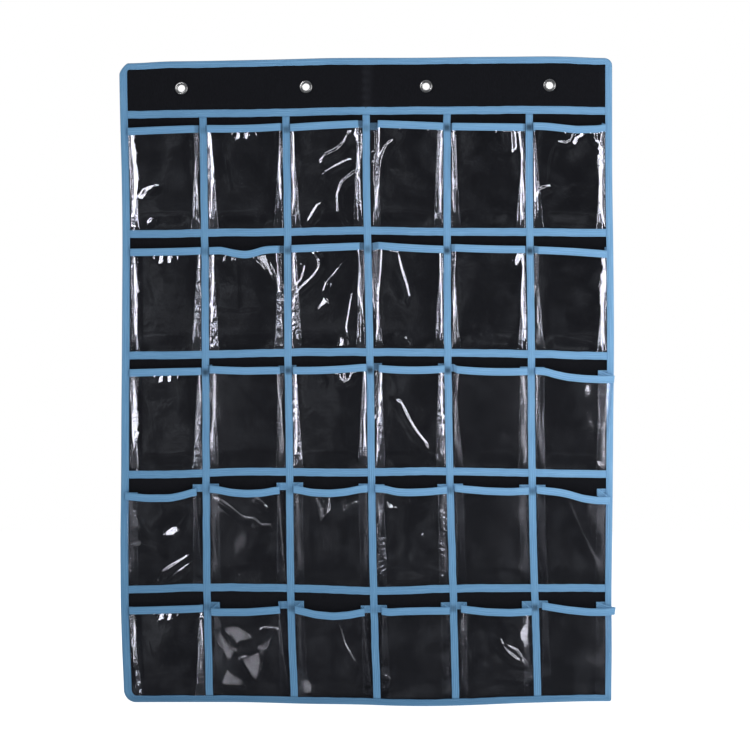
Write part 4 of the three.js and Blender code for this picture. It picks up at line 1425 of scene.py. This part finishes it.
            sway_at = 0.5 + 0.16 * wig(s, 300.0 + 60.0 * sgn)
            if self.c == 1 and self.r in (2, 3, 5) and sgn > 0:
                sway_at = np.clip(sway_at + 0.28 * (1 - t), 0.3, 0.8)
            out_ = np.maximum(d_out, d_mid + 0.1)
            parts_x = [lin(c0 + sgn * 0.15, e0, 4), lin(e0, I - sgn * rJ, m, True), I - sgn * rJ + sgn * rJ * np.cos(half[1:]),
                       lin(I - sgn * rJ, F + sgn * rE, m, True), F + sgn * rE - sgn * rE * np.cos(half[1:])]
            parts_d = [lin(base * one, base * one, 4), step(base * one, d_in, I - e0, sway_at) - drop * np.exp(-(1 - qq) * np.abs(I - e0) / 1.3), d_in + rI + rJ * np.sin(half[1:]),
                       step(d_mid, out_, F - I, 1 - sway_at) + drop * np.exp(-qq * np.abs(F - I) / 1.3), out_ + rE + rE * np.sin(half[1:])]
            w = np.concatenate([np.zeros(4), np.linspace(0, 0.3, m)[1:], np.linspace(0.3, 0.42, 7)[1:], np.linspace(0.42, 0.96, m)[1:], np.linspace(0.96, 1, 7)[1:]])
            kind = np.concatenate([np.zeros(4), np.full(m - 1, 1), np.full(6, 2), np.full(m - 1, 3), np.full(6, 4)])
            ply = np.sin(np.linspace(0, np.pi, m))[1:]
            mask = np.concatenate([np.zeros(4), ply, np.full(6, 0.25), ply, np.full(6, 0.3)])
            return np.concatenate(parts_x), np.concatenate(parts_d), w, kind, mask

        lx, ld, lw, lk, lm = side(cl, xl, IL, FL, 1)
        rx, rd, rw, rk, rm = side(cr, xr, IR, FR, -1)
        q = self.front_q[1:-1, None]
        a, b = FL + rE, FR - rE
        fx = a * (1 - q) + b * q
        bow = 1.1 * np.sin(np.pi * q) * rise
        # between the pleats the front lies a little closer to the cloth at its seam
        sink = 0.62 * (1 - near(np.minimum(fx - xl, xr - fx), 0, 11.0, 15.0)) * (1 - up)
        # the film rolls over towards its folds rather than breaking sharply
        edge = np.minimum(fx - a, b - fx)
        roll = (0.95 + 0.35 * wig(s, 200.0)) * np.exp(-edge / 3.4) * smooth(s / 30.0)
        start = (0.95 + 0.35 * wig(s, 200.0)) * smooth(s / 30.0)
        d_out = d_out - start
        lx, ld, lw, lk, lm = side(cl, xl, IL, FL, 1)
        rx, rd, rw, rk, rm = side(cr, xr, IR, FR, -1)
        fd = base + D + bow - sink - roll
        self.q = q[:, 0]
        X = np.concatenate([lx, fx, rx[::-1]])
        Dd = np.concatenate([ld, fd, rd[::-1]])
        W = np.concatenate([lw, np.ones(NF - 2), rw[::-1]])
        K = np.concatenate([lk, np.full(NF - 2, 5), rk[::-1]])
        M = np.concatenate([lm, np.zeros(NF - 2), rm[::-1]])
        SIDE = np.concatenate([np.full(len(lk), -1), np.zeros(NF - 2), np.full(len(rk), 1)])
        # tops of the plies
        ztab_l = p["tab"][0] if p["tab"][0] is not None else float(self.mouth_z(FL[0, -1])) + 0.2
        ztab_r = p["tab"][1] if p["tab"][1] is not None else float(self.mouth_z(FR[0, -1])) + 0.2
        zt_front = self.mouth_z(X[:, -1:])
        share = np.select([K <= 2, K == 3, K >= 4], [np.zeros(len(K)), (W - 0.42) / 0.54, np.ones(len(K))])[:, None]
        tab = np.where(SIDE[:, None] < 0, ztab_l, ztab_r)
        ztop = np.where(SIDE[:, None] == 0, zt_front, tab * (1 - share) + zt_front * share)
        xe = X[:, :1]
        zb = hang_z(np.clip(xe, X_LEFT, X_RIGHT), self.z_low)
        Zc = np.where(s < 0, zb + s, zb + s / self.h * (ztop - zb))
        run = np.concatenate([[0], np.cumsum(np.hypot(np.diff(X[:, -1]), np.diff(Dd[:, -1])))])
        self.K, self.M, self.SIDE = K, M, SIDE
        ws = smooth(np.clip(s, 0, None) / 16.0)
        self.xl, self.xr = xl, xr
        return X, Dd, Zc, W[:, None] * ws, run, zr


def crinkles(pocket, X, D, Z, s):
    """Small buckles across the pleats and long soft dents in the front, as depth in mm."""
    p = pocket.p
    seed = 900 + pocket.rng_id
    fine = noise_maker(seed, 9, 0.55, 1.15, 1.0)
    long_ = noise_maker(seed + 40, 7, 0.05, 0.16, 0.6)
    s = s[None, :]
    env = smooth(s / 10.0) * smooth((pocket.h - MOUTH_H + 3 - s) / 14.0)
    lean = 0.55 * (X - X.mean())
    patch = 0.35 + 0.65 * smooth(0.5 + 0.9 * noise_maker(seed + 80, 5, 0.03, 0.08)(Z, X * 0.3))
    cr = np.where(pocket.SIDE < 0, p["crinkle"][0], p["crinkle"][1])[:, None]
    out = pocket.M[:, None] * env * (0.8 * cr * patch * fine(Z + lean * np.sign(pocket.SIDE)[:, None], X * 0.35) + 0.35 * long_(Z * 0.7, X * 2.0))
    # lengthwise creases of the pleat's plies
    out = out + pocket.M[:, None] * env * 0.16 * np.sin(X * 2.1 + 1.6 * long_(Z * 0.5, 3.0) + seed) * (0.4 + 0.6 * patch)
    # the front's first centimetre takes up some of its pleat's buckles
    is_front = (pocket.K == 5)[:, None]
    fl, fr = X[pocket.K == 5][0], X[pocket.K == 5][-1]
    el = np.exp(-(((X - fl) / 6.0) ** 2)) * p["crinkle"][0]
    er = np.exp(-(((fr - X) / 6.0) ** 2)) * p["crinkle"][1]
    edge = np.where(is_front, np.sin(np.pi * np.clip((X - fl) / np.maximum(fr - fl, 1), 0, 1)) ** 0.3, 0)
    out = out + edge * env * 0.30 * patch * fine(Z, X * 0.5) * np.clip(el + er, 0, 1)
    out = out + edge * env * 0.35 * p["slack"] * long_(Z, X)
    return out


pockets = [Pocket(r, c) for r in range(1, 6) for c in range(1, 7)]


# Cloth: every film's front, pinned along its seam, folds and mouth, and cut a little
# too large for its place, so that it buckles as soft vinyl does.
SIM_U, SIM_V = 27, 34


def simulate_fronts():
    """Returns for each pocket a (SIM_U, SIM_V, 3) array of moves in mm from the cloth solver."""
    verts, rest, faces, pins = [], [], [], []
    meta = []
    for pocket in pockets:
        p = pocket.p
        t = np.linspace(0.02, 1 - (MOUTH_H - 1) / pocket.h, SIM_V)
        X, D, Z, W, run, zr = pocket.section(t * pocket.h)
        f = pocket.K == 5
        X, D, Z = X[f], D[f], Z[f]
        iq = np.interp(np.linspace(0, 1, SIM_U), np.clip((pocket.q - pocket.q[0]) / (pocket.q[-1] - pocket.q[0]), 0, 1), np.arange(X.shape[0]))
        i0 = np.minimum(iq.astype(int), X.shape[0] - 2)
        a = (iq - i0)[:, None]
        up_ = lambda A: A[i0] * (1 - a) + A[i0 + 1] * a
        P = np.stack([up_(X), Y0 - up_(D), up_(Z)], -1)
        rng = np.random.default_rng(3000 + pocket.rng_id)
        nz = noise_maker(3100 + pocket.rng_id, 8, 0.03, 0.12)
        u = np.linspace(0, 1, SIM_U)[:, None]
        v = np.linspace(0, 1, SIM_V)[None, :]
        bubble = np.sin(np.pi * u) * np.sin(np.pi * v)
        seedy = P.copy()
        seedy[..., 1] -= bubble * (0.9 + 1.3 * nz(P[..., 0], P[..., 2]))
        gx = 0.0028 + 0.006 * p["slack"] * rng.uniform(0.4, 1.0)
        gz = 0.0028 + 0.010 * p["slack"] * rng.uniform(0.5, 1.0)
        skew = rng.uniform(-0.05, 0.05) * p["slack"]
        c0 = P.mean((0, 1))
        R = P.copy()
        R[..., 0] = c0[0] + (P[..., 0] - c0[0]) * (1 + gx) + skew * (P[..., 2] - c0[2]) * 0.25
        R[..., 2] = c0[2] + (P[..., 2] - c0[2]) * (1 + gz)
        base = len(verts) and sum(len(x) for x in verts)
        verts.append(seedy.reshape(-1, 3))
        rest.append(R.reshape(-1, 3))
        i, j = np.meshgrid(np.arange(SIM_U - 1), np.arange(SIM_V - 1), indexing="ij")
        k = (i * SIM_V + j).ravel() + base
        faces.append(np.stack([k, k + SIM_V, k + SIM_V + 1, k + 1], 1))
        pin = np.zeros((SIM_U, SIM_V))
        pin[:, 0] = pin[:, -1] = 1
        pin[0] = pin[-1] = 1
        pins.append(pin.ravel())
        meta.append(P)
    V = np.concatenate(verts) / MM
    Rv = np.concatenate(rest) / MM
    F = np.concatenate(faces)
    pins = np.concatenate(pins)
    # solved at ten times its size: the solver's stiffness suits garment-sized cloth
    K = 10.0
    mesh = bpy.data.meshes.new("film_solver")
    mesh.from_pydata((V * K).tolist(), [], F.tolist())
    o = bpy.data.objects.new("film_solver", mesh)
    bpy.context.scene.collection.objects.link(o)
    g = o.vertex_groups.new(name="pin")
    g.add(np.nonzero(pins > 0)[0].tolist(), 1.0, "REPLACE")
    o.shape_key_add(name="Basis")
    key = o.shape_key_add(name="Rest")
    key.data.foreach_set("co", (Rv * K).astype(np.float32).ravel())
    key.value = 0.0
    mod = o.modifiers.new("Cloth", "CLOTH")
    st = mod.settings
    st.quality = 4
    st.mass = 0.3
    st.air_damping = 2.5
    st.tension_stiffness = 30
    st.compression_stiffness = 30
    st.shear_stiffness = 18
    st.bending_stiffness = 9
    st.tension_damping = st.compression_damping = 12
    st.shear_damping = 12
    st.bending_damping = 2.0
    st.vertex_group_mass = "pin"
    st.pin_stiffness = 1
    st.rest_shape_key = key
    st.effector_weights.gravity = 0
    mod.collision_settings.use_collision = False
    mod.collision_settings.use_self_collision = False
    frames = 22
    sc = bpy.context.scene
    mod.point_cache.frame_start, mod.point_cache.frame_end = 1, frames
    sc.frame_start, sc.frame_end = 1, frames
    for f in range(1, frames + 1):
        sc.frame_set(f)
    dg = bpy.context.evaluated_depsgraph_get()
    ev = o.evaluated_get(dg)
    co = np.zeros(len(V) * 3, np.float32)
    ev.data.vertices.foreach_get("co", co)
    co = co.reshape(-1, 3) / K * MM
    sc.frame_set(1)
    bpy.data.objects.remove(o)
    bpy.data.meshes.remove(mesh)
    out = []
    per = SIM_U * SIM_V
    for n, P in enumerate(meta):
        move = co[n * per : (n + 1) * per].reshape(SIM_U, SIM_V, 3) - P
        out.append(np.clip(move, -5.0, 5.0))
    return out


MOVES = simulate_fronts()
if MOVES is not None:
    print("cloth: largest moves in mm", np.round([float(np.abs(m[..., 1]).max()) for m in MOVES], 2).tolist())


def solver_move(n, u, v):
    """The solver's move at front places u (0 to 1 across) and v (0 to 1 up)."""
    if MOVES is None:
        return np.zeros((len(u), len(v), 3))
    G = MOVES[n]
    fu = np.clip(u, 0, 1) * (SIM_U - 1)
    fv = np.clip(v, 0, 1) * (SIM_V - 1)
    i, j = np.minimum(fu.astype(int), SIM_U - 2), np.minimum(fv.astype(int), SIM_V - 2)
    a, b = (fu - i)[:, None, None], (fv - j)[None, :, None]
    return (
        G[i][:, j] * (1 - a) * (1 - b) + G[i + 1][:, j] * a * (1 - b) + G[i][:, j + 1] * (1 - a) * b + G[i + 1][:, j + 1] * a * b
    )


def flank(across_x, across_z, z):
    """Slope of a pressed crease whose flank faces (across_x, across_z), at height z."""
    cx, cz = max(abs(across_x), 1e-3), max(abs(across_z), 1e-3)
    side = 0.205 / cx
    if z / MM + 2.6 * (2 * side * cz - 0.1) > 1.8:
        side = 9.0
    top = ((1.38 - z / MM) / 2.6 + 0.1) / (2 * cz)
    if 2.6 * 2 * top * cx > 0.68:
        top = 9.0
    return min(side, top, 0.36)


def ridge_depth(pocket, X, Z):
    """Pressed creases and dents of a film's front, tapered towards their ends."""
    out = np.zeros(X.shape)
    for pts, half, height in RIDGES.get((pocket.r, pocket.c), []):
        pts = np.array(pts, float)
        d = np.diff(pts, axis=0)
        seg = np.hypot(*d.T)
        run = np.concatenate([[0], np.cumsum(seg)])
        steep = np.array([flank(-b / n, a / n, z) for (a, b), n, z in zip(d, seg, (pts[1:, 1] + pts[:-1, 1]) / 2)])
        steep = np.concatenate([steep[:1], (steep[1:] + steep[:-1]) / 2, steep[-1:]])
        sharp = height / half > 0.17
        if sharp and 2 <= half < 3:
            half = half * 1.2
        best = np.full(X.shape, 1e9)
        where = np.zeros(X.shape)
        wide = np.ones(X.shape)
        upper = 1 if pts[-1, 0] >= pts[0, 0] else -1
        for i in range(len(pts) - 1):
            ab = pts[i + 1] - pts[i]
            k = np.clip(((X - pts[i, 0]) * ab[0] + (Z - pts[i, 1]) * ab[1]) / max(ab @ ab, 1e-6), 0, 1)
            dist = np.hypot(X - pts[i, 0] - k * ab[0], Z - pts[i, 1] - k * ab[1])
            near_ = dist < best
            best = np.where(near_, dist, best)
            where = np.where(near_, run[i] + k * seg[i], where)
            # a crease falls away more gently on its lower side, except where it is narrow
            turn = (ab[0] * (Z - pts[i, 1]) - ab[1] * (X - pts[i, 0])) / max(seg[i], 1e-6) * upper
            side = 1 + 1.2 * smooth(0.5 - 0.5 * turn / half) if half >= 2 else np.ones(X.shape)
            wide = np.where(near_, side, wide)
        share = where / run[-1]
        fall = np.exp(-((best / (half * wide)) ** 2))
        if sharp:
            # a sharp crease keeps the same flank angle whatever its width
            tall = np.interp(where, run, steep) * half * (1.26 if half > 2.6 else 1.33)
            fall = fall * (0.8 + 0.2 * np.sin(np.pi * np.clip(0.1 + 0.8 * share, 0, 1)))
        else:
            tall = 0.7 * height
            fall = fall * (0.55 + 0.45 * np.sin(np.pi * np.clip(0.1 + 0.8 * share, 0, 1)))
        out = np.maximum(out, tall * fall)
    return out


def leaning(x, z, lean):
    """Slopes (across, up) of a flat at (x, z) mm that leans to the left (-1) or right."""
    x, z = x / MM, z / MM
    nx = (math.atan((lean * 0.995 + 0.02 - x) / 2.41) + math.atan((0.01 - x) / 3.0)) / 2
    look = math.atan((0.4253 - z) / 3.0)
    if 0.25 < z + (z - 0.4253) * 0.803 - 0.265 < 1.7:
        return -math.tan(nx), 0.055
    nz = (math.atan((0.36 - z) / 2.41) + look) / 2
    return -math.tan(nx), -math.tan(nz)


def inside(outline, X, Z, soft):
    """1 inside a convex outline, fading to 0 a little beyond its edge."""
    o = np.array(outline, float)
    c = o.mean(0)
    d = np.full(X.shape, 1e9)
    for a, b in zip(o, np.roll(o, -1, 0)):
        n = np.array([-(b - a)[1], (b - a)[0]]) / max(np.hypot(*(b - a)), 1e-6)
        if (c - a) @ n < 0:
            n = -n
        d = np.minimum(d, (X - a[0]) * n[0] + (Z - a[1]) * n[1])
    return smooth(np.clip(d / soft + 0.85, 0, 1))


def worn(pocket, X, Z, s):
    """How much gloss each point has lost, 0 to 1: in the plies of films dulled by
    handling, and where a first column's left ply lies flat against the cloth."""
    K, t = pocket.K[:, None], np.clip(s / pocket.h, 0, 1)[None, :]
    out = np.zeros(X.shape)
    d = pocket.p["dull"]
    if d > 0.2:
        low = pocket.r > 3
        out = out + np.where((K == 1) | (K == 3), 1.0 if low else 0.55, 0.0)
        edge = np.minimum(X - X[pocket.K == 5][0], X[pocket.K == 5][-1] - X)
        out = out + np.where(K == 5, (0.75 if low else 0.3) * np.exp(-((edge.clip(0) / 5.0) ** 2)), 0.0)
        out = out + np.where((K == 2) | (K == 4), 0.35 if low else 0.1, 0.0)
        if (pocket.r, pocket.c) == (4, 4):
            out = out * (0.55 + 0.45 * np.sin(0.17 * Z + 0.4 * X + pocket.rng_id))
    if pocket.c == 1 and pocket.r in (2, 3, 5):
        u = X - pocket.xl - (12.6 - 10.2 * t)
        half = 2.3 + 2.4 * np.sin(np.pi * t)
        clear = smooth(np.clip((half - np.abs(u)) / 1.1 + 0.5, 0, 1))
        clear = clear * (1 - 0.9 * np.exp(-(((u + 0.9 - 0.6 * np.sin(9 * t)) / 0.7) ** 2)) * smooth((t - 0.2) / 0.15) * smooth((0.85 - t) / 0.15))
        clear = clear * (1 - 0.8 * np.exp(-(((u - 1.9) / 0.6) ** 2)) * smooth((t - 0.35) / 0.1) * smooth((0.75 - t) / 0.2))
        near_ = smooth((19.0 - (X - pocket.xl)) / 3.0) * (pocket.SIDE[:, None] <= 0)
        out = np.maximum(out, near_ * (1 - clear) * 1.1)
    return out


def build_film(n, pocket):
    s = pocket.rows(0.9)
    X, D, Z, W, run, zr = pocket.section(s)
    t = np.clip(s / pocket.h, 0, 1)
    v = (t - 0.02) / (1 - (MOUTH_H - 1) / pocket.h - 0.02)
    f = pocket.K == 5
    mv = solver_move(n, pocket.q, v)
    fade = (smooth(s / 4.0) * smooth((pocket.h - MOUTH_H + 2 - s) / 3.0))[None, :, None]
    still = np.minimum(pocket.q, 1 - pocket.q)[:, None, None] * (pocket.er - pocket.el)
    calm = 0.3 if pocket.r < 4 or pocket.c == 1 and pocket.r == 5 else 0.75
    if (pocket.r, pocket.c) in ((1, 1), (1, 6), (4, 1)):
        calm = calm * 0.4
    mv = mv * fade * calm * (0.35 + 0.65 * smooth(still / 16.0))
    X, D, Z = X.copy(), D + crinkles(pocket, X, D, Z, s), Z.copy()
    X[f] += mv[..., 0]
    D[f] += -mv[..., 1] + ridge_depth(pocket, X[f], Z[f]) * fade[..., 0]
    Z[f] += mv[..., 2]
    lost = worn(pocket, X, Z, s)
    for outline, soft, lean, gloss in FACETS.get((pocket.r, pocket.c), []):
        flat = inside(outline, X[f], Z[f], soft) * fade[..., 0]
        cx, cz = np.mean(outline, 0)
        mx, mz = leaning(cx, cz, lean)
        g = np.argmin((X[f] - cx) ** 2 + (Z[f] - cz) ** 2)
        D[f] = D[f] * (1 - flat) + (D[f].ravel()[g] + mx * (X[f] - cx) + mz * (Z[f] - cz)) * flat
        lost[f] = lost[f] * (1 - flat) + (1 - gloss) / 0.85 * flat
    # the front stays clear of the plies behind it
    D = np.maximum(D, 1.18)
    P = world(X, D, Z)
    uv = np.stack(np.broadcast_arrays(run[:, None], s[None, :] + 0 * run[:, None]), -1)
    vv, q, uu = grid_shell(P, FILM_T, uv)
    b = Build()
    b.add(vv, q, uu, 0, w=np.tile(W.ravel(), 2), dull=pocket.p["dull"], lost=np.tile(lost.ravel(), 2))
    o = b.object(f"clear_film_{pocket.name}", [FILM])
    swing(o)
    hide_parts(pocket.body)
    return o


def swing(o):
    """Bakes the piece's placement into its mesh."""
    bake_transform(o)


def build_band(pocket):
    """The folded tape over a pocket's mouth, following film and pleats from one
    divider to the next, with its row of stitches."""
    s = np.concatenate([[pocket.h - MOUTH_H], np.linspace(pocket.h - MOUTH_H + 0.35, pocket.h - 0.4, 9), [pocket.h]])
    X, D, Z, W, run, zr = pocket.section(s)
    # sewn as one height all along, so the tape keeps its width where the film slants
    top = Z[:, -1:]
    Z = top - (pocket.h - s)[None, :]
    tilt = (D[:, -1:] - D[:, :1]) / MOUTH_H
    # the tape is thicker than the film: under the dividers and along the back it stands off the cloth
    under = np.maximum(0.0, 1.82 - D)
    D = D + under
    ends = np.abs(pocket.SIDE)[:, None] * 0
    ripple = 0.16 * TAPE_EDGE(run[:, None] * 0.8, pocket.rng_id * 5.0) + 0 * D
    D = D + ripple * (W > 0.9) + ends
    P = world(X, D, Z)
    n = normals_of(P)
    tt = np.array([0.55] + [1.0] * 9 + [0.35])
    T = 1.25 * np.broadcast_to(tt, X.shape)
    # between the folds the plies lie close, so the tape is no thicker than they leave room for
    T = np.where((pocket.K == 3)[:, None] | (pocket.K == 1)[:, None] | (pocket.K == 2)[:, None], T * 0.8, T)
    groove = -0.14 * np.exp(-((((s - (pocket.h - MOUTH_H)) - 2.0) / 0.5) ** 2))[None, :]
    T = T + groove
    uv = np.stack(np.broadcast_arrays(run[:, None], (s - pocket.h)[None, :]), -1)
    vv, q, uu = grid_shell(P, T, uv, normals=n)
    b = Build()
    # painted shade on the mouth tape's plies inside the pleats, deeper where they lie close to the cloth, scaled by
    # each pocket's dark value
    depth_shade = np.clip((7.5 - D) / 5.0, 0, 1) * pocket.p["dark"] * (pocket.K < 5)[:, None] * np.ones_like(X)
    # painted light: the mouth tapes a little brighter than the other tapes
    tn = painted_light_at(P) + 0.04
    b.add(vv, q, uu, 0, w=np.tile(W.ravel(), 2), shade=np.tile(depth_shade.ravel(), 2), tone=np.tile(tn.ravel(), 2))
    j = int(np.argmin(np.abs(s - (pocket.h - MOUTH_H + 2.0))))
    side = 1 if n[len(n) // 2, j, 1] < 0 else -1
    keep = np.arange(len(X))
    line = P[keep, j] + side * n[keep, j] * (T[keep, j] / 2)[:, None]
    st = stitches(line, side * n[keep, j], seed=700 + pocket.rng_id, start=2, end=2)
    if st:
        b.add(st[0], st[1], None, 1, w=np.interp(st[2], np.arange(len(keep)), W[keep, j]))
    o = b.object(f"mouth_tape_{pocket.name}", [TAPE, THREAD])
    swing(o)
    return o


for n, pocket in enumerate(pockets):
    build_film(n, pocket)
    build_band(pocket)


# ------------------------------------------------------------------- stage and lights
def stage():
    sc = bpy.context.scene
    for o in list(sc.objects):
        if o.name.startswith("clear_film"):
            FILM_SET.objects.link(o)
            r_, c_ = int(o.name[12]), int(o.name[15])
            if (r_, c_) in ((3, 1), (3, 3), (3, 4), (5, 1), (5, 5)):
                LOW_SET.objects.link(o)
            if DULL.get((r_, c_), 0) > 0.38:
                DULL_SET.objects.link(o)
        if o.name.startswith("nickel"):
            METAL_SET.objects.link(o)
    mesh = bpy.data.meshes.new("floor")
    r = 4.0
    z = -0.05
    mesh.from_pydata([(-r, -r, z), (r, -r, z), (r, r, z), (-r, r, z)], [], [(0, 1, 2, 3)])
    floor = bpy.data.objects.new("floor", mesh)
    sc.collection.objects.link(floor)
    m, nt, bsdf, out = material("floor_mat", 0.8)
    bsdf.inputs["Base Color"].default_value = (0.5, 0.5, 0.5, 1)
    bsdf.inputs["Specular IOR Level"].default_value = 0.05
    bsdf.inputs["Emission Color"].default_value = (1, 1, 1, 1)
    bsdf.inputs["Emission Strength"].default_value = 0.86
    mesh.materials.append(m)
    floor.visible_glossy = False
    floor.visible_shadow = False

    w = bpy.data.worlds.new("studio")
    sc.world = w
    w.use_nodes = True
    nt = w.node_tree
    nt.nodes.clear()
    out = nt.nodes.new("ShaderNodeOutputWorld")
    path = nt.nodes.new("ShaderNodeLightPath")
    seen = nt.nodes.new("ShaderNodeBackground")
    seen.inputs[0].default_value = (1, 1, 1, 1)
    seen.inputs[1].default_value = 1.0
    soft = nt.nodes.new("ShaderNodeBackground")
    tc = nt.nodes.new("ShaderNodeTexCoord")
    sep = nt.nodes.new("ShaderNodeSeparateXYZ")
    nt.links.new(tc.outputs["Generated"], sep.inputs[0])
    front = math_node(nt, "MAXIMUM", math_node(nt, "MULTIPLY", sep.outputs[1], -1.0), 0.0)
    # dark behind the camera, lighter to the sides and above
    k = math_node(nt, "POWER", front, 5.0)
    up = math_node(nt, "MAXIMUM", sep.outputs[2], 0.0)
    level = math_node(nt, "MULTIPLY_ADD", k, -0.24, 0.27)
    level = math_node(nt, "MULTIPLY_ADD", up, 0.25, level)
    # the vinyl mirrors a dimmer room, so that its glints stand out
    cloud = noise_node(nt, tc.outputs["Generated"], 7.0, 3, 0.6)
    cloud = math_node(nt, "POWER", math_node(nt, "MULTIPLY", cloud, 1.6), 5.0)
    dim = math_node(nt, "MULTIPLY_ADD", level, 0.3, math_node(nt, "MULTIPLY", cloud, 0.16))
    pick = nt.nodes.new("ShaderNodeMix")
    nt.links.new(path.outputs["Is Glossy Ray"], pick.inputs[0])
    nt.links.new(level, pick.inputs[2])
    nt.links.new(dim, pick.inputs[3])
    nt.links.new(pick.outputs[0], soft.inputs[1])
    soft.inputs[0].default_value = (0.93, 0.96, 1.0, 1)
    mix = nt.nodes.new("ShaderNodeMixShader")
    nt.links.new(path.outputs["Is Camera Ray"], mix.inputs[0])
    nt.links.new(soft.outputs[0], mix.inputs[1])
    nt.links.new(seen.outputs[0], mix.inputs[2])
    nt.links.new(mix.outputs[0], out.inputs["Surface"])

    mid = Vector((0, 0, 0.42))

    def area(name, place, sx, sy, radiance, glossy, diffuse, target=mid, only=None):
        light = bpy.data.lights.new(name, "AREA")
        light.shape = "RECTANGLE"
        light.size, light.size_y = sx, sy
        light.energy = radiance * math.pi * sx * sy
        if glossy and only is not None and only is not METAL_SET:
            light.color = (0.95, 0.94, 1.0)
        o = bpy.data.objects.new(name, light)
        o.location = place
        o.rotation_euler = (Vector(target) - Vector(place)).to_track_quat("-Z", "Y").to_euler()
        o.visible_glossy = glossy
        o.visible_diffuse = diffuse
        o.visible_camera = False
        if only is not None:
            o.light_linking.receiver_collection = only
        sc.collection.objects.link(o)

    def strip(name, azimuth, z, sx, sy, radiance, only=FILM_SET):
        a = math.radians(azimuth)
        p = (2.6 * math.sin(a), -2.6 * math.cos(a), z)
        area(name, p, sx, sy, radiance, True, False, (0, 0, z), only)

    area("fill_front", (1.05, -1.65, 0.8), 1.2, 0.9, 3.15, False, True)
    area("fill_back", (-0.6, 3.0, 1.7), 2.4, 2.0, 2.2, False, True)
    strip("strip_a", -22, 0.95, 0.34, 1.9, 11.5)
    strip("strip_b", 23, 1.0, 0.34, 1.9, 11.5)
    strip("low_a", -22, -0.05, 0.34, 0.8, 9, LOW_SET)
    strip("low_b", 23, -0.05, 0.34, 0.8, 9, LOW_SET)
    area("low_bar", (0.05, -2.6, 0.86), 1.3, 0.26, 11, True, False, mid, LOW_SET)
    strip("veil_a", -27, 0.8, 0.8, 2.2, 1.0)
    strip("veil_b", 28, 0.8, 0.8, 2.2, 1.0)
    strip("dull_a", -25, 0.1, 0.8, 1.4, 0.75, DULL_SET)
    strip("dull_b", 26, 0.1, 0.8, 1.4, 0.75, DULL_SET)
    area("dull_top", (0.05, -2.6, 0.98), 1.3, 0.5, 1.5, True, False, mid, DULL_SET)
    strip("strip_c", -50, 0.8, 0.22, 2.2, 3.5)
    strip("strip_d", 52, 0.8, 0.22, 2.2, 3.5)
    area("bar_high", (0.05, -2.6, 1.38), 1.3, 0.26, 10, True, False, mid, FILM_SET)
    area("overhead", (0.0, -1.5, 2.5), 1.8, 0.4, 4, True, False, mid, FILM_SET)
    area("metal_left", (-1.7, -1.9, 1.6), 1.7, 1.7, 0.95, True, False, (0, 0, 0.8), METAL_SET)
    area("metal_right", (1.8, -1.8, 0.7), 1.6, 1.7, 0.8, True, False, (0, 0, 0.8), METAL_SET)
    area("metal_glint", (-0.5, -2.6, 1.5), 0.16, 0.36, 12, True, False, (0, 0, 0.8), METAL_SET)
    area("rear_strip", (0.9, 2.4, 1.3), 0.5, 1.6, 8, True, False)


stage()

cam = bpy.data.cameras.new("camera")
cam.sensor_width = 36.0
cam.lens = 36.0 * 3.0 / 0.9739
camera = bpy.data.objects.new("camera", cam)
camera.location = (0.0097, -3.0 + Y0 / MM, 0.4253)
camera.rotation_euler = (math.pi / 2, 0, 0)
bpy.context.scene.collection.objects.link(camera)
bpy.context.scene.camera = camera
bpy.context.scene.view_settings.view_transform = "Standard"
bpy.context.scene.view_settings.look = "None"
bpy.context.scene.cycles.transparent_max_bounces = 32
bpy.context.scene.cycles.max_bounces = 8
